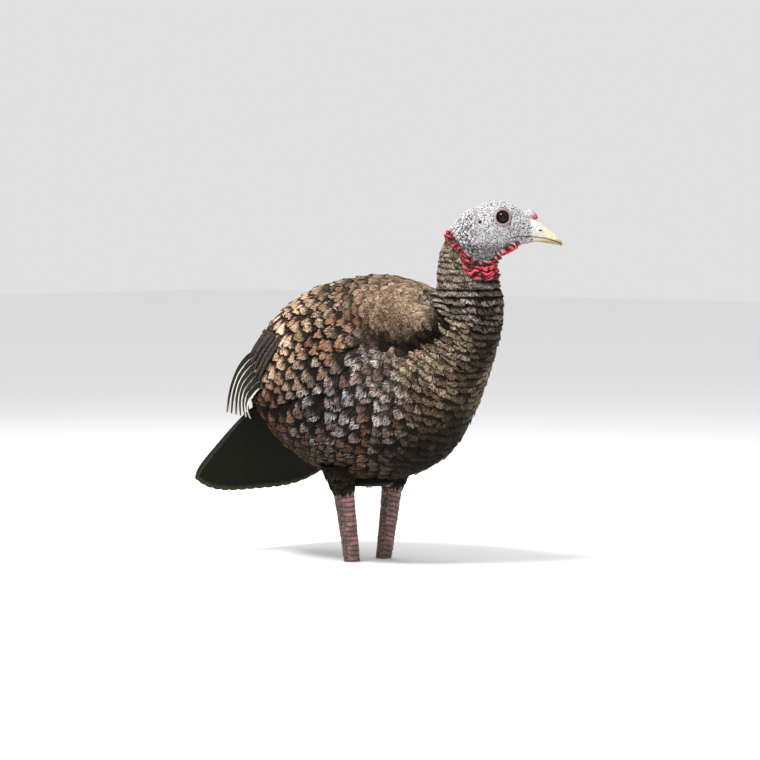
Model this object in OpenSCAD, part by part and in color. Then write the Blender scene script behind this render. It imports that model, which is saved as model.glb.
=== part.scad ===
// Hen turkey decoy, life size: a hollow moulded body that turns on a ground stake, a head that
// turns and lifts off, a plug-in tail, wing tips and leg stubs.
// Millimetres. -Y is forward, +X is the bird's left, +Z is up. The origin is the mouth of the
// stake socket under the belly.

/* [Body] */
// Full width of the body at its widest
body_w = 196; // [188:1:204]
// Thickness of the moulded wall
wall = 3; // [2.4:0.2:3.6]
// Radius of the neck where the head turns on it
neck_r = 33; // [33:0.5:34]
// How far the neck stands in front of the stake
neck_forward = 138.6; // [138:0.2:140]
// Height of the plane where the head turns on the neck
neck_z = 206; // [206:0.5:208]

/* [Head] */
// How far the head is turned to the bird's left
head_turn = 42; // [-90:1:90]
// Thickness of the soft head moulding
skin = 2.5; // [2:0.1:3]
// Radius of the glass eyes
eye_r = 6.4; // [6:0.1:6.8]

/* [Tail] */
// Length of the tail below the rump
tail_len = 96; // [90:1:102]
// Half the width of the tail across its corners
tail_half = 110; // [104:1:114]
// How steeply the tail hangs below level
tail_droop = 69; // [66:1:72]

/* [Legs] */
// Half the distance between the legs where they leave the body
leg_half_top = 38; // [36:1:40]
// Half the distance between the legs at their lower ends
leg_half_foot = 24.5; // [22:0.5:30]
// Height of the lower ends of the legs
leg_foot_z = -78; // [-90:1:-70]

/* [Stake socket] */
// Radius of the ground stake that the socket takes
stake_r = 6.35; // [6:0.05:6.5]
// Depth of the bore that takes the stake
socket_depth = 140; // [120:1:150]

/* [Hidden] */

$fn = 48;
gap = 0.1;        // running clearance
slack = 0.3;      // clearance between moulded faces
over = 1;         // how far a cutter runs past what it cuts

// Each ring of the body: back forward and height, breast forward and height, half width as a
// share of the widest, and where the widest place lies between back and breast.
BODY_RINGS = [
    [105.6, 206, 171.6, 206, 0.337, 0.50],
    [104.0, 199, 173.6, 190, 0.352, 0.50],
    [101.0, 197, 172.5, 170, 0.360, 0.51],
    [ 94.0, 200, 167.0, 150, 0.410, 0.52],
    [ 82.0, 206, 156.0, 131, 0.515, 0.52],
    [ 64.0, 212, 143.0, 110, 0.640, 0.51],
    [ 42.0, 217, 128.0,  84, 0.770, 0.50],
    [ 16.0, 219, 110.0,  55, 0.875, 0.50],
    [-12.0, 217,  86.0,  27, 0.965, 0.51],
    [-42.0, 211,  53.0,  11, 1.000, 0.53],
    [-73.0, 200,  10.0,   4, 0.965, 0.55],
    [-102.0, 183, -31.0,  8, 0.870, 0.56],
    [-124.0, 162, -66.0, 24, 0.730, 0.55],
    [-140.0, 138, -90.0, 44, 0.580, 0.54],
    [-149.0, 113, -104.0, 60, 0.450, 0.52],
    [-152.0,  90, -112.0, 74.7, 0.345, 0.50],
];
// Each ring of the head in its own plane, forward of the neck's axis: crown forward and height,
// throat forward and height, and half width.
HEAD_RINGS = [
    [-33.0, 206.0, 33.0, 206.0, 33.0],
    [-31.7, 232.0, 32.0, 210.0, 31.0],
    [-25.5, 254.8, 30.7, 215.8, 27.5],
    [-19.2, 267.3, 27.0, 229.8, 24.5],
    [-10.9, 277.2, 29.1, 236.1, 22.5],
    [  1.0, 286.5, 35.4, 241.8, 20.5],
    [ 15.1, 293.8, 41.1, 246.0, 19.2],
    [ 29.6, 295.6, 46.3, 248.6, 17.6],
    [ 41.1, 292.8, 51.5, 251.2, 14.6],
    [ 52.5, 285.5, 57.7, 252.9, 10.8],
    [ 62.9, 278.7, 64.0, 253.8,  8.4],
    [ 69.7, 274.6, 70.2, 253.8,  7.4],
    [ 81.6, 265.9, 81.6, 252.0,  5.4],
    [ 91.0, 257.6, 90.0, 250.3,  3.2],
    [ 94.7, 252.7, 93.7, 249.4,  1.4],
];
FEATHER_END = 2;     // ring where the neck feathers end and the bare head begins
BEAK_START = 10;     // ring where the head ends and the beak begins

BROWN = [0.24, 0.17, 0.12];
DARK = [0.09, 0.09, 0.07];
SKIN = [0.62, 0.62, 0.64];
LEG = [0.45, 0.29, 0.28];
PLASTIC = [0.12, 0.12, 0.12];
STEEL = [0.7, 0.7, 0.72];

pad_r = 30;          // flat pad under the belly
pad_z = 3;
pad_top = 13;
tube_r = 14;
tube_bore = 11;
tube_top = 186;
sleeve_r = tube_bore - gap;
sleeve_top = socket_depth + 8;
flange_r = 26;
flange_hole = 8.6;
flange_screw_r = 20;
ball_r = 4;
boss_r = 19;         // socket moulded under the back for the top of the tube
screw_r = 1.6;

collar_r = neck_r - wall - 0.4;
collar_bottom = neck_z - 20;
collar_top = neck_z - 5;
cap_top = neck_z - 2;
ring_r = 21.9;
ring_bottom = collar_bottom + 2.3;
groove_z = ring_bottom + 4;
plug_r = 15.9;
collar_screw_r = 25.5;
lip = 5;             // ledge in the neck that the collar rests on
plate_r = 29;        // plate under the head, resting on the neck
plate_t = 3;
plug_screw_r = 25;
hollow_end = 5.8;    // ring where the hollow of the head stops
snood_r = 3.2;       // fleshy bump above the beak
snood_h = 6;
lug_half = 4;        // half angle of the stop lug on the swivel ring
head_swing = 90;     // how far the head turns each way from straight ahead
ahead = -90;         // direction of straight ahead

tail_root = [0, 127, 80.5];   // middle of the tail where it leaves the rump
tongue = [40, 4, 36];
tail_screw_x = 27;
tail_screw_r = 1.2;
tail_panel = 3.2;    // thickness of the tail panel
tail_base = 38;      // half width of the panel at the rump
tail_fall = 1.5;     // how far its corners fall below its middle
tail_cut = 27;       // how much shorter it is at its corners
tail_gap = 4;        // room between the rump and the tail panel

leg_top_z = -2;      // where the bare leg leaves the feathered thigh
leg_r_top = 10.8;
leg_r_foot = 8.2;
leg_lean = atan((leg_half_top - leg_half_foot) / (leg_top_z - leg_foot_z));
leg_spigot = 24;
leg_spigot_r = 9;
leg_pin_r = 2;
thigh_r_foot = 13.4; // feathered thigh above the bare leg
thigh_r_top = 23;
thigh_h = 27;

wing_t = 3.4;        // thickness of a wing tip
wing_lift = 0.9;     // room between the body and a wing tip's root
peg_r = 2.5;
WING_PEGS = [[9.9, 66], [11.3, 70]];   // where each peg enters the body: ring and angle

// ---- curves and skins ----

// Catmull-Rom curve through a list of rings, at a place counted in rings
function pick(list, i) =
    i < 0 ? 2 * list[0] - list[1]
    : i > len(list) - 1 ? 2 * list[len(list) - 1] - list[len(list) - 2]
    : list[i];
function blend4(a, b, c, d, t) =
    0.5 * (2 * b + (c - a) * t + (2 * a - 5 * b + 4 * c - d) * t * t
           + (3 * b - a - 3 * c + d) * t * t * t);
function along(list, u) =
    let (i = floor(u))
    blend4(pick(list, i - 1), pick(list, i), pick(list, i + 1), pick(list, i + 2), u - i);

// Outward-facing skins are worked out from a place u along the body, counted in rings, and an
// angle a round it: 0 on the back, 90 on the left flank, 180 on the breast.
function oval_point(top, low, half, waist, a) =
    let (
        centre = top + (low - top) * waist,
        p = centre + cos(a) * (cos(a) > 0 ? top - centre : centre - low)
    )
    [half * sin(a), -p[0], p[1]];
function body_point(u, a) =
    let (r = along(BODY_RINGS, u))
    oval_point([r[0], r[1]], [r[2], r[3]], r[4] * body_w / 2, r[5], a);
function body_out(u, a) =
    let (
        round_way = body_point(u, a + 1) - body_point(u, a - 1),
        tail_way = body_point(u + 0.02, a) - body_point(u - 0.02, a),
        out = cross(round_way, tail_way)
    )
    out / norm(out);
function body_ring(u, inset, n) =
    [for (j = [0:n - 1]) let (a = 360 * j / n)
        inset == 0 ? body_point(u, a) : body_point(u, a) - inset * body_out(u, a)];
function head_ring(u, inset, n) =
    let (
        r = along(HEAD_RINGS, u),
        top = [r[0], r[1]],
        low = [r[2], r[3]],
        shrink = inset * (top - low) / norm(top - low)
    )
    [for (j = [0:n - 1]) oval_point(top - shrink, low + shrink, r[4] - inset, 0.5, 360 * j / n)];
function steps(from, to, n) = [for (i = [0:n]) from + (to - from) * i / n];

// Closed skin over rings of points
module loft(rings) {
    n = len(rings[0]);
    last = (len(rings) - 1) * n;
    polyhedron(
        points = [for (r = rings) each r],
        faces = concat(
            [[for (j = [n - 1:-1:0]) j]],
            [for (i = [0:len(rings) - 2], j = [0:n - 1])
                let (a = i * n + j, b = i * n + (j + 1) % n)
                each [[a, b, b + n], [a, b + n, a + n]]],
            [[for (j = [0:n - 1]) last + j]]
        )
    );
}

// Closed slab between two sheets of points that have the same rows and columns
module slab(front, back) {
    rows = len(front);
    cols = len(front[0]);
    flip = rows * cols;
    edge = concat(
        [for (c = [0:cols - 2]) [c, c + 1]],
        [for (r = [0:rows - 2]) [r * cols + cols - 1, (r + 1) * cols + cols - 1]],
        [for (c = [cols - 1:-1:1]) [(rows - 1) * cols + c, (rows - 1) * cols + c - 1]],
        [for (r = [rows - 1:-1:1]) [r * cols, (r - 1) * cols]]
    );
    polyhedron(
        points = concat([for (r = front) each r], [for (r = back) each r]),
        faces = concat(
            [for (r = [0:rows - 2], c = [0:cols - 2])
                let (a = r * cols + c)
                each [[a, a + cols, a + 1], [a + 1, a + cols, a + cols + 1]]],
            [for (r = [0:rows - 2], c = [0:cols - 2])
                let (a = flip + r * cols + c)
                each [[a, a + 1, a + cols], [a + 1, a + cols + 1, a + cols]]],
            [for (e = edge) each [[e[0], e[1], e[1] + flip], [e[0], e[1] + flip, e[0] + flip]]]
        )
    );
}

// ---- frames ----

module at_neck() translate([0, -neck_forward, 0]) children();
module at_head() at_neck() rotate([0, 0, head_turn]) children();
module at_tail() translate(tail_root) rotate([90 - tail_droop, 0, 0]) children();
module at_leg(side) translate([side * leg_half_top, 0, leg_top_z]) rotate([0, side * leg_lean, 0]) children();
module wing_side(side) mirror([side > 0 ? 0 : 1, 0, 0]) children();
module around(n, r, start = 0)
    for (i = [0:n - 1]) rotate([0, 0, start + i * 360 / n]) translate([r, 0, 0]) children();
module screw(length) {
    cylinder(r = screw_r, h = length);
    translate([0, 0, -1.6]) cylinder(r = 3, h = 1.6);
}

// ---- body ----

module thighs() for (side = [-1, 1]) at_leg(side) cylinder(r1 = thigh_r_foot, r2 = thigh_r_top, h = thigh_h);
module leg_sockets() for (side = [-1, 1]) at_leg(side)
    translate([0, 0, -over]) cylinder(r = leg_spigot_r + gap, h = leg_spigot + over);

module body_shell() color(BROWN) difference() {
    union() {
        loft([for (u = steps(15, 0, 38)) body_ring(u, 0, 28)]);
        thighs();
        translate([0, 0, pad_z]) cylinder(r = pad_r, h = pad_top - pad_z);
    }
    difference() {
        loft([for (u = steps(13.4, 1.2, 23)) body_ring(u, wall, 20)]);
        thighs();
        translate([0, 0, -over]) cylinder(r = pad_r, h = pad_top + over);
        translate([0, 0, tube_top - 12]) cylinder(r = boss_r, h = 60);
        at_neck() translate([0, 0, collar_bottom - lip]) cylinder(r = collar_r + 4, h = 40);
        tail_block();
    }
    translate([0, 0, -over]) cylinder(r = flange_r + slack, h = pad_z + over);
    translate([0, 0, -over]) cylinder(r = tube_r + gap, h = tube_top + 10 + gap + over);
    at_neck() translate([0, 0, collar_bottom - gap]) cylinder(r = collar_r + gap, h = 40);
    at_neck() translate([0, 0, collar_bottom - lip - 8]) cylinder(r = plug_r + 4, h = 40);
    at_neck() around(3, collar_screw_r, 30) translate([0, 0, collar_bottom - 4.5]) cylinder(r = screw_r + gap, h = 10);
    leg_sockets();
    leg_pin_holes();
    tail_opening();
    around(4, flange_screw_r, 45) translate([0, 0, -over]) cylinder(r = screw_r + gap, h = 12);
    for (side = [-1, 1]) wing_side(side) wing_pegs(peg_r + gap, 9.2);
}

// ---- stake socket ----

module stake_tube() color(PLASTIC) translate([0, 0, pad_z + gap]) difference() {
    cylinder(r = tube_r, h = tube_top - pad_z - gap);
    translate([0, 0, -over]) cylinder(r = tube_bore, h = tube_top + 2 * over);
}

module tube_cap() color(PLASTIC) difference() {
    union() {
        translate([0, 0, tube_top + gap]) cylinder(r = tube_r, h = 9);
        translate([0, 0, sleeve_top + 2 * ball_r - 2]) cylinder(r = tube_bore - gap, h = tube_top - sleeve_top - 2 * ball_r + 3);
    }
    translate([0, 0, sleeve_top + ball_r - 2]) sphere(r = ball_r + slack);
    translate([0, 0, sleeve_top + 2 * ball_r + 4]) cylinder(r = 7, h = 50 - 2 * ball_r - 24);
}

module belly_flange() color(PLASTIC) difference() {
    cylinder(r = flange_r, h = pad_z);
    translate([0, 0, -over]) cylinder(r = flange_hole, h = pad_z + 2 * over);
    around(4, flange_screw_r, 45) translate([0, 0, -over]) cylinder(r = screw_r + gap, h = pad_z + 2 * over);
}

module flange_screws() color(STEEL) around(4, flange_screw_r, 45) screw(11);

module swivel_sleeve() color([0.85, 0.85, 0.82]) difference() {
    union() {
        cylinder(r = flange_hole - gap, h = pad_z + 1);
        translate([0, 0, pad_z + 0.2]) cylinder(r = sleeve_r, h = sleeve_top - pad_z - 0.2);
    }
    translate([0, 0, -over]) cylinder(r = stake_r + gap, h = socket_depth + over);
    translate([0, 0, sleeve_top + ball_r - 2]) sphere(r = ball_r + 0.05);
}

module thrust_ball() color(STEEL) translate([0, 0, sleeve_top + ball_r - 2]) sphere(r = ball_r);

// ---- neck joint ----

module neck_collar() color(PLASTIC) at_neck() difference() {
    translate([0, 0, collar_bottom]) cylinder(r = collar_r, h = collar_top - collar_bottom);
    translate([0, 0, ring_bottom - slack]) cylinder(r = ring_r + gap, h = 30);
    translate([0, 0, collar_bottom - over]) cylinder(r = plug_r + 2, h = 30);
    rotate([0, 0, ahead - head_swing - lug_half - 0.5])
        rotate_extrude(angle = 2 * (head_swing + lug_half + 0.5))
            translate([ring_r - 1, collar_top - 5]) square([2.6, 6]);
    around(3, collar_screw_r, 30) translate([0, 0, collar_bottom - over]) cylinder(r = screw_r + gap, h = 30);
}

module collar_cap() color(PLASTIC) at_neck() difference() {
    translate([0, 0, collar_top + gap]) cylinder(r = collar_r, h = cap_top - collar_top - gap);
    translate([0, 0, collar_top - over]) cylinder(r = plug_r + 2, h = 20);
    around(3, collar_screw_r, 30) translate([0, 0, collar_top - over]) cylinder(r = screw_r + gap, h = 20);
    around(3, collar_screw_r, 30) translate([0, 0, cap_top - 1.6]) cylinder(r = 3 + gap, h = 20);
}

module collar_screws() color(STEEL) at_neck() around(3, collar_screw_r, 30)
    translate([0, 0, cap_top - 1.6]) mirror([0, 0, 1]) screw(20);

module swivel_ring() color([0.85, 0.85, 0.82]) at_head() difference() {
    union() {
        translate([0, 0, ring_bottom]) cylinder(r = ring_r, h = collar_top - ring_bottom - slack);
        rotate([0, 0, ahead - lug_half]) rotate_extrude(angle = 2 * lug_half)
            translate([ring_r - 2, collar_top - 4.5]) square([3.2, 4]);
    }
    translate([0, 0, ring_bottom - over]) cylinder(r = plug_r + gap, h = 30);
    key_ribs(0.2, ring_bottom - over);
    translate([0, 0, groove_z]) rotate_extrude() translate([ring_r - 1.6, -0.9]) square([4, 1.8]);
}

module neck_o_ring() color([0.03, 0.03, 0.03]) at_head() translate([0, 0, groove_z])
    rotate_extrude() translate([ring_r - 0.75, 0]) circle(r = 0.8, $fn = 24);

module key_ribs(extra, bottom) for (a = [0, 180]) rotate([0, 0, a])
    translate([plug_r - 1, -2 - extra, bottom]) cube([2 + extra, 4 + 2 * extra, neck_z - bottom]);

// ---- head ----

module neck_plug() color(PLASTIC) at_head() difference() {
    union() {
        translate([0, 0, ring_bottom + 1]) cylinder(r = plug_r, h = neck_z - ring_bottom);
        key_ribs(0, ring_bottom + 1);
        translate([0, 0, neck_z + slack]) cylinder(r = plate_r, h = plate_t);
    }
    translate([0, 0, ring_bottom]) cylinder(r = plug_r - 3, h = 40);
    around(3, plug_screw_r, 90) translate([0, 0, neck_z]) cylinder(r = screw_r + gap, h = 10);
}

module plug_screws() color(STEEL) at_head() around(3, plug_screw_r, 90) translate([0, 0, neck_z + slack]) screw(9);

// Feathered lower neck that turns with the head, with a lip that the bare head is glued over
module neck_shell() color(BROWN) at_head() difference() {
    union() {
        difference() {
            loft([for (u = concat([0.012], steps(0.25, FEATHER_END, 7))) head_ring(u, 0, 24)]);
            difference() {
                loft([for (u = concat([-0.2, 0.012], steps(0.25, FEATHER_END + 0.2, 8))) head_ring(u, wall, 24)]);
                around(3, plug_screw_r, 90) translate([0, 0, neck_z]) cylinder(r = 5, h = 14);
            }
        }
        difference() {
            loft([for (u = steps(FEATHER_END - 0.3, FEATHER_END + 0.35, 3)) head_ring(u, wall - 0.2, 24)]);
            loft([for (u = steps(FEATHER_END - 0.5, FEATHER_END + 0.5, 4)) head_ring(u, wall + 1.8, 24)]);
        }
    }
    translate([0, 0, neck_z - over]) cylinder(r = plate_r + gap, h = plate_t + slack + over + gap);
    around(3, plug_screw_r, 90) translate([0, 0, neck_z]) cylinder(r = screw_r + gap, h = 10.5);
}

module eye_frame(side) translate([side * 12.9, -33.2, 278.9]) rotate([0, side * 84, 0]) children();

// Bare head: hollow behind the eyes, solid round the eye sockets and the root of the beak
module head_shell() color(SKIN) at_head() difference() {
    union() {
        difference() {
            loft([for (u = steps(FEATHER_END, BEAK_START, 20)) head_ring(u, 0, 24)]);
            loft([for (u = concat([FEATHER_END - 0.4], steps(FEATHER_END, hollow_end, 10))) head_ring(u, skin, 24)]);
        }
        translate([0, -58, 276]) rotate([44, 0, 0]) snood();
    }
    for (side = [-1, 1]) eye_frame(side) sphere(r = eye_r + 0.2);
    beak_tenon(0.15);
}

module snood() rotate_extrude() union() {
    polygon([[0, 0], [snood_r + 1.6, 0], [snood_r, snood_h], [0, snood_h]]);
    translate([0, snood_h]) intersection() {
        circle(r = snood_r);
        square(snood_r);
    }
}

module eye(side) color([0.05, 0.03, 0.02]) at_head() eye_frame(side) intersection() {
    sphere(r = eye_r);
    translate([-10, -10, -4]) cube(20);
}

module beak_tenon(extra) translate([0, -54, 265]) rotate([90, 0, 0]) cylinder(r = 4 + extra, h = 12);

module beak() color([0.75, 0.7, 0.5]) at_head() union() {
    loft([for (u = steps(BEAK_START + 0.06, 14, 10)) head_ring(u, 0, 16)]);
    beak_tenon(0);
}

// ---- tail ----

// Half width of the tail at a share of its length, widening to its corners and rounding off
function tail_reach(t) = tail_base + (tail_half - tail_base) * pow(t, 0.7);
// How far the tail's surface falls away towards its edges
function tail_roof(x) = tail_fall * pow(x / tail_half, 2);
// How far down the tail ends: shorter at its corners
function tail_edge(x) = tail_len - tail_cut * pow(abs(x) / tail_half, 3.5);
function tail_point(t, s, lift) =
    let (
        corner = 1 - 0.10 * pow(abs(s), 8) * pow(t, 6),
        x = s * tail_reach(t) * corner
    )
    [x, lift - tail_roof(x), -t * tail_edge(x)];
function tail_sheet(lift) = [for (t = steps(0, 1, 10)) [for (s = steps(-1, 1, 14)) tail_point(t, s, lift)]];

module tail_fan() color(DARK) at_tail() translate([0, 0, -tail_gap]) union() {
    slab(tail_sheet(tail_panel / 2), tail_sheet(-tail_panel / 2));
    translate([-tongue[0] / 2, -tongue[1] / 2, -2]) cube([tongue[0], tongue[1], tongue[2] + 2]);
}

module tail_block() at_tail() translate([-31, -10, -10]) cube([62, 20, 52]);
module tail_opening() at_tail() {
    translate([-24 - gap, -5.5 - gap, -20]) cube([48 + 2 * gap, 11 + 2 * gap, 20 + tongue[2] + 1 + gap]);
    translate([-30.5 - gap, -8 - gap, -20]) cube([61 + 2 * gap, 16 + 2 * gap, 20]);
    for (side = [-1, 1]) translate([side * tail_screw_x, 0, -over]) cylinder(r = tail_screw_r + gap, h = 12);
}

// Sleeve that takes the tail's tongue, with a flange screwed to the rump
module tail_socket() color(PLASTIC) at_tail() difference() {
    union() {
        translate([-24, -5.5, -over]) cube([48, 11, tongue[2] + 1 + over]);
        translate([-30.5, -8, -2.1]) cube([61, 16, 2]);
    }
    translate([-tongue[0] / 2 - 0.2, -tongue[1] / 2 - 0.2, -3]) cube([tongue[0] + 0.4, tongue[1] + 0.4, tongue[2] + 2]);
    for (side = [-1, 1]) translate([side * tail_screw_x, 0, -3]) cylinder(r = tail_screw_r + gap, h = 12);
}

module tail_socket_screws() color(STEEL) at_tail() for (side = [-1, 1]) translate([side * tail_screw_x, 0, -2.1]) union() {
    cylinder(r = tail_screw_r, h = 10);
    translate([0, 0, -1]) cylinder(r = 2.2, h = 1);
}

// ---- legs ----

module leg(side) color(LEG) difference() {
    at_leg(side) union() {
        mirror([0, 0, 1]) cylinder(r1 = leg_r_top, r2 = leg_r_foot, h = (leg_top_z - leg_foot_z) / cos(leg_lean) + 4);
        cylinder(r = leg_spigot_r, h = leg_spigot - 1);
    }
    translate([-100, -100, leg_foot_z - 50]) cube([200, 200, 50]);
    leg_pin_holes();
}

module leg_pin_holes() for (side = [-1, 1]) at_leg(side) translate([0, 22, leg_spigot / 2]) rotate([90, 0, 0]) cylinder(r = leg_pin_r + gap, h = 30);
module leg_pins() color(STEEL) for (side = [-1, 1]) at_leg(side) translate([0, 14, leg_spigot / 2]) rotate([90, 0, 0]) cylinder(r = leg_pin_r, h = 21);

// ---- wing tips ----

// The folded wing's tip lies along the body from t = 0 at its root to t = 1 behind the rump, and
// lifts clear of the body towards its end. s runs from its upper edge to its lower edge.
function wing_point(t, s, lift) =
    let (
        u = 9.3 + 4.3 * t,
        narrow = 1 - 0.55 * pow(t, 3),
        a = 66 + 10 * t + s * (23 + 4 * t) * narrow * (1 - 0.15 * pow(1 - t, 4))
    )
    body_point(u, a) + body_out(u, a) * (lift + wing_lift + 12 * t * t);
function wing_sheet(lift) = [for (t = steps(0, 1, 14)) [for (s = steps(-1, 1, 8)) wing_point(t, s, lift)]];

// Pegs moulded on the wing tip that press into holes in the body
module wing_pegs(r, h) for (at = WING_PEGS)
    let (base = body_point(at[0], at[1]), out = body_out(at[0], at[1]))
    translate(base + out * 4.4) rotate([0, acos(-out[2]), atan2(-out[1], -out[0])]) cylinder(r = r, h = h);

module wing_tip() union() {
    slab(wing_sheet(wing_t), wing_sheet(0));
    wing_pegs(peg_r, 9);
}

body_shell();
neck_collar();
collar_cap();
collar_screws();
stake_tube();
tube_cap();
belly_flange();
flange_screws();
tail_socket();
tail_socket_screws();
leg(1);  // leg_left
leg(-1);  // leg_right
leg_pins();
color(DARK) wing_side(1) wing_tip();  // wing_tip_left
color(DARK) wing_side(-1) wing_tip();  // wing_tip_right
swivel_sleeve();
thrust_ball();
swivel_ring();
neck_o_ring();
neck_plug();
plug_screws();
neck_shell();
head_shell();
beak();
eye(1);  // eye_left
eye(-1);  // eye_right
tail_fan();
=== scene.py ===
"""The looks of a hen turkey decoy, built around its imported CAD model.

Shapes are worked out in millimetres in the CAD's own frame, where -Y is the way the body faces,
+X is its left side and +Z is up, and they become metres when a mesh is made. A skin is a surface
with a place u along it and an angle a round it: 0 on the back, 90 on the left, 180 in front.
"""

import math

import bpy
import numpy as np
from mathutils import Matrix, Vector, noise


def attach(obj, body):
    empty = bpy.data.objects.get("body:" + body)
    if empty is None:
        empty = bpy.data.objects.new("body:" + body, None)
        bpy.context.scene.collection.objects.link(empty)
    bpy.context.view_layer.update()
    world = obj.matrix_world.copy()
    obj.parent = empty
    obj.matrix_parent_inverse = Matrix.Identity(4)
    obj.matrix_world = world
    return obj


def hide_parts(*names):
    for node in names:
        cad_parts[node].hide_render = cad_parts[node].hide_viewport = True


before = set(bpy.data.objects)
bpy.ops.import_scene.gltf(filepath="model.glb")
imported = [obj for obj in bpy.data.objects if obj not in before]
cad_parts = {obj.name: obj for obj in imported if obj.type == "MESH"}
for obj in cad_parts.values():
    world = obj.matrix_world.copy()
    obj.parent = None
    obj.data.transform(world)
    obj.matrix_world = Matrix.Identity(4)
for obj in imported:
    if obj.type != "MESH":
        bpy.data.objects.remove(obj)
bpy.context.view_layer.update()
MM = 0.001


def linear(*srgb):
    """A colour picked on a 0 to 255 scale, as the shaders want it."""
    c = np.array(srgb) / 255
    return np.where(c < 0.043, c / 12.92, ((c + 0.055) / 1.055) ** 2.4)


def rise(x, low, high):
    """0 where x is below low and 1 above high, with a smooth rise between."""
    t = np.clip((x - low) / (high - low), 0, 1)
    return t * t * (3 - 2 * t)


def hump(x, middle, width):
    return np.exp(-(((x - middle) / width) ** 2))


def unit(v):
    return v / np.maximum(np.linalg.norm(v, axis=-1, keepdims=True), 1e-9)


def xyz(*parts):
    """Points, or any rows of numbers, from their separate parts."""
    return np.stack(np.broadcast_arrays(*parts), axis=-1)


def grid(down, across):
    """Two tables over a grid: the place down it and the place across it."""
    return np.meshgrid(down, across, indexing="ij")


def turned(p, i, j, angle):
    """Points turned in the plane of two axes, from axis i towards axis j."""
    q = np.array(p, float)
    q[..., i] = p[..., i] * math.cos(angle) - p[..., j] * math.sin(angle)
    q[..., j] = p[..., i] * math.sin(angle) + p[..., j] * math.cos(angle)
    return q


# ---- materials ----

BLACK = (0.006, 0.005, 0.0045)


class Value:
    """A number or a colour inside a shader."""

    def __init__(self, shader, socket):
        self.shader = shader
        self.socket = socket

    def __add__(self, other):
        return self.shader.math("ADD", self, other)

    def __sub__(self, other):
        return self.shader.math("SUBTRACT", self, other)

    def __mul__(self, other):
        return self.shader.math("MULTIPLY", self, other)

    def step(self, low, high, start=0.0, end=1.0):
        """start where the value is below low and end above high, with a smooth change between."""
        s = self.shader
        return s.add("MapRange", self, low, high, start, end, interpolation_type="SMOOTHSTEP")


class Shader:
    """A Principled material whose nodes are made by short calls."""

    def __init__(self, name, roughness=0.6, gloss=0.4):
        self.material = bpy.data.materials.new(name)
        self.material.use_nodes = True
        self.tree = self.material.node_tree
        self.surface = self.tree.nodes["Principled BSDF"].inputs
        self.surface["Roughness"].default_value = roughness
        self.surface["Specular IOR Level"].default_value = gloss

    def put(self, socket, value):
        if isinstance(value, Value):
            self.tree.links.new(value.socket, socket)
        elif socket.type == "RGBA":
            socket.default_value = (*value, 1)
        else:
            socket.default_value = value

    def add(self, kind, *values, output=0, named=(), **settings):
        """A new node's output, with its settings made and its first inputs filled in order."""
        made = self.tree.nodes.new("ShaderNode" + kind)
        for key, setting in settings.items():
            setattr(made, key, setting)
        for socket, value in zip(made.inputs, values):
            self.put(socket, value)
        for key, value in dict(named).items():
            self.put(made.inputs[key], value)
        return Value(self, made.outputs[output])

    def math(self, operation, *values):
        return self.add("Math", *values, operation=operation)

    def mix(self, factor, a, b, blend="MIX"):
        return self.add("Mix", factor, named={6: a, 7: b}, output=2, data_type="RGBA", blend_type=blend)

    def attribute(self, name):
        """The colours stored under a name, and their alpha."""
        return [self.add("Attribute", output=part, attribute_name=name) for part in ("Color", "Alpha")]

    def split(self, colour):
        return [self.add("SeparateColor", colour, output=k) for k in range(3)]

    def join(self, x, y, z):
        return self.add("CombineXYZ", x, y, z)

    def place(self):
        return self.add("TexCoord", output="Object")

    def on_feather(self):
        """The place across a feather and the place down it."""
        return self.split(self.add("UVMap", uv_map="feather"))[:2]

    def noise(self, scale, detail=2.0, vector=None):
        sizes = {"Scale": scale, "Detail": detail}
        return self.add("TexNoise", vector or self.place(), named=sizes, output="Fac")

    def finish(self, colour, roughness, height, depth):
        """Sets the colour and the roughness, and the relief from its height and its depth in metres."""
        self.put(self.surface["Base Color"], colour)
        self.put(self.surface["Roughness"], roughness)
        relief = self.add("Bump", named={"Distance": depth, "Height": height})
        self.put(self.surface["Normal"], relief)
        return self.material


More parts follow.
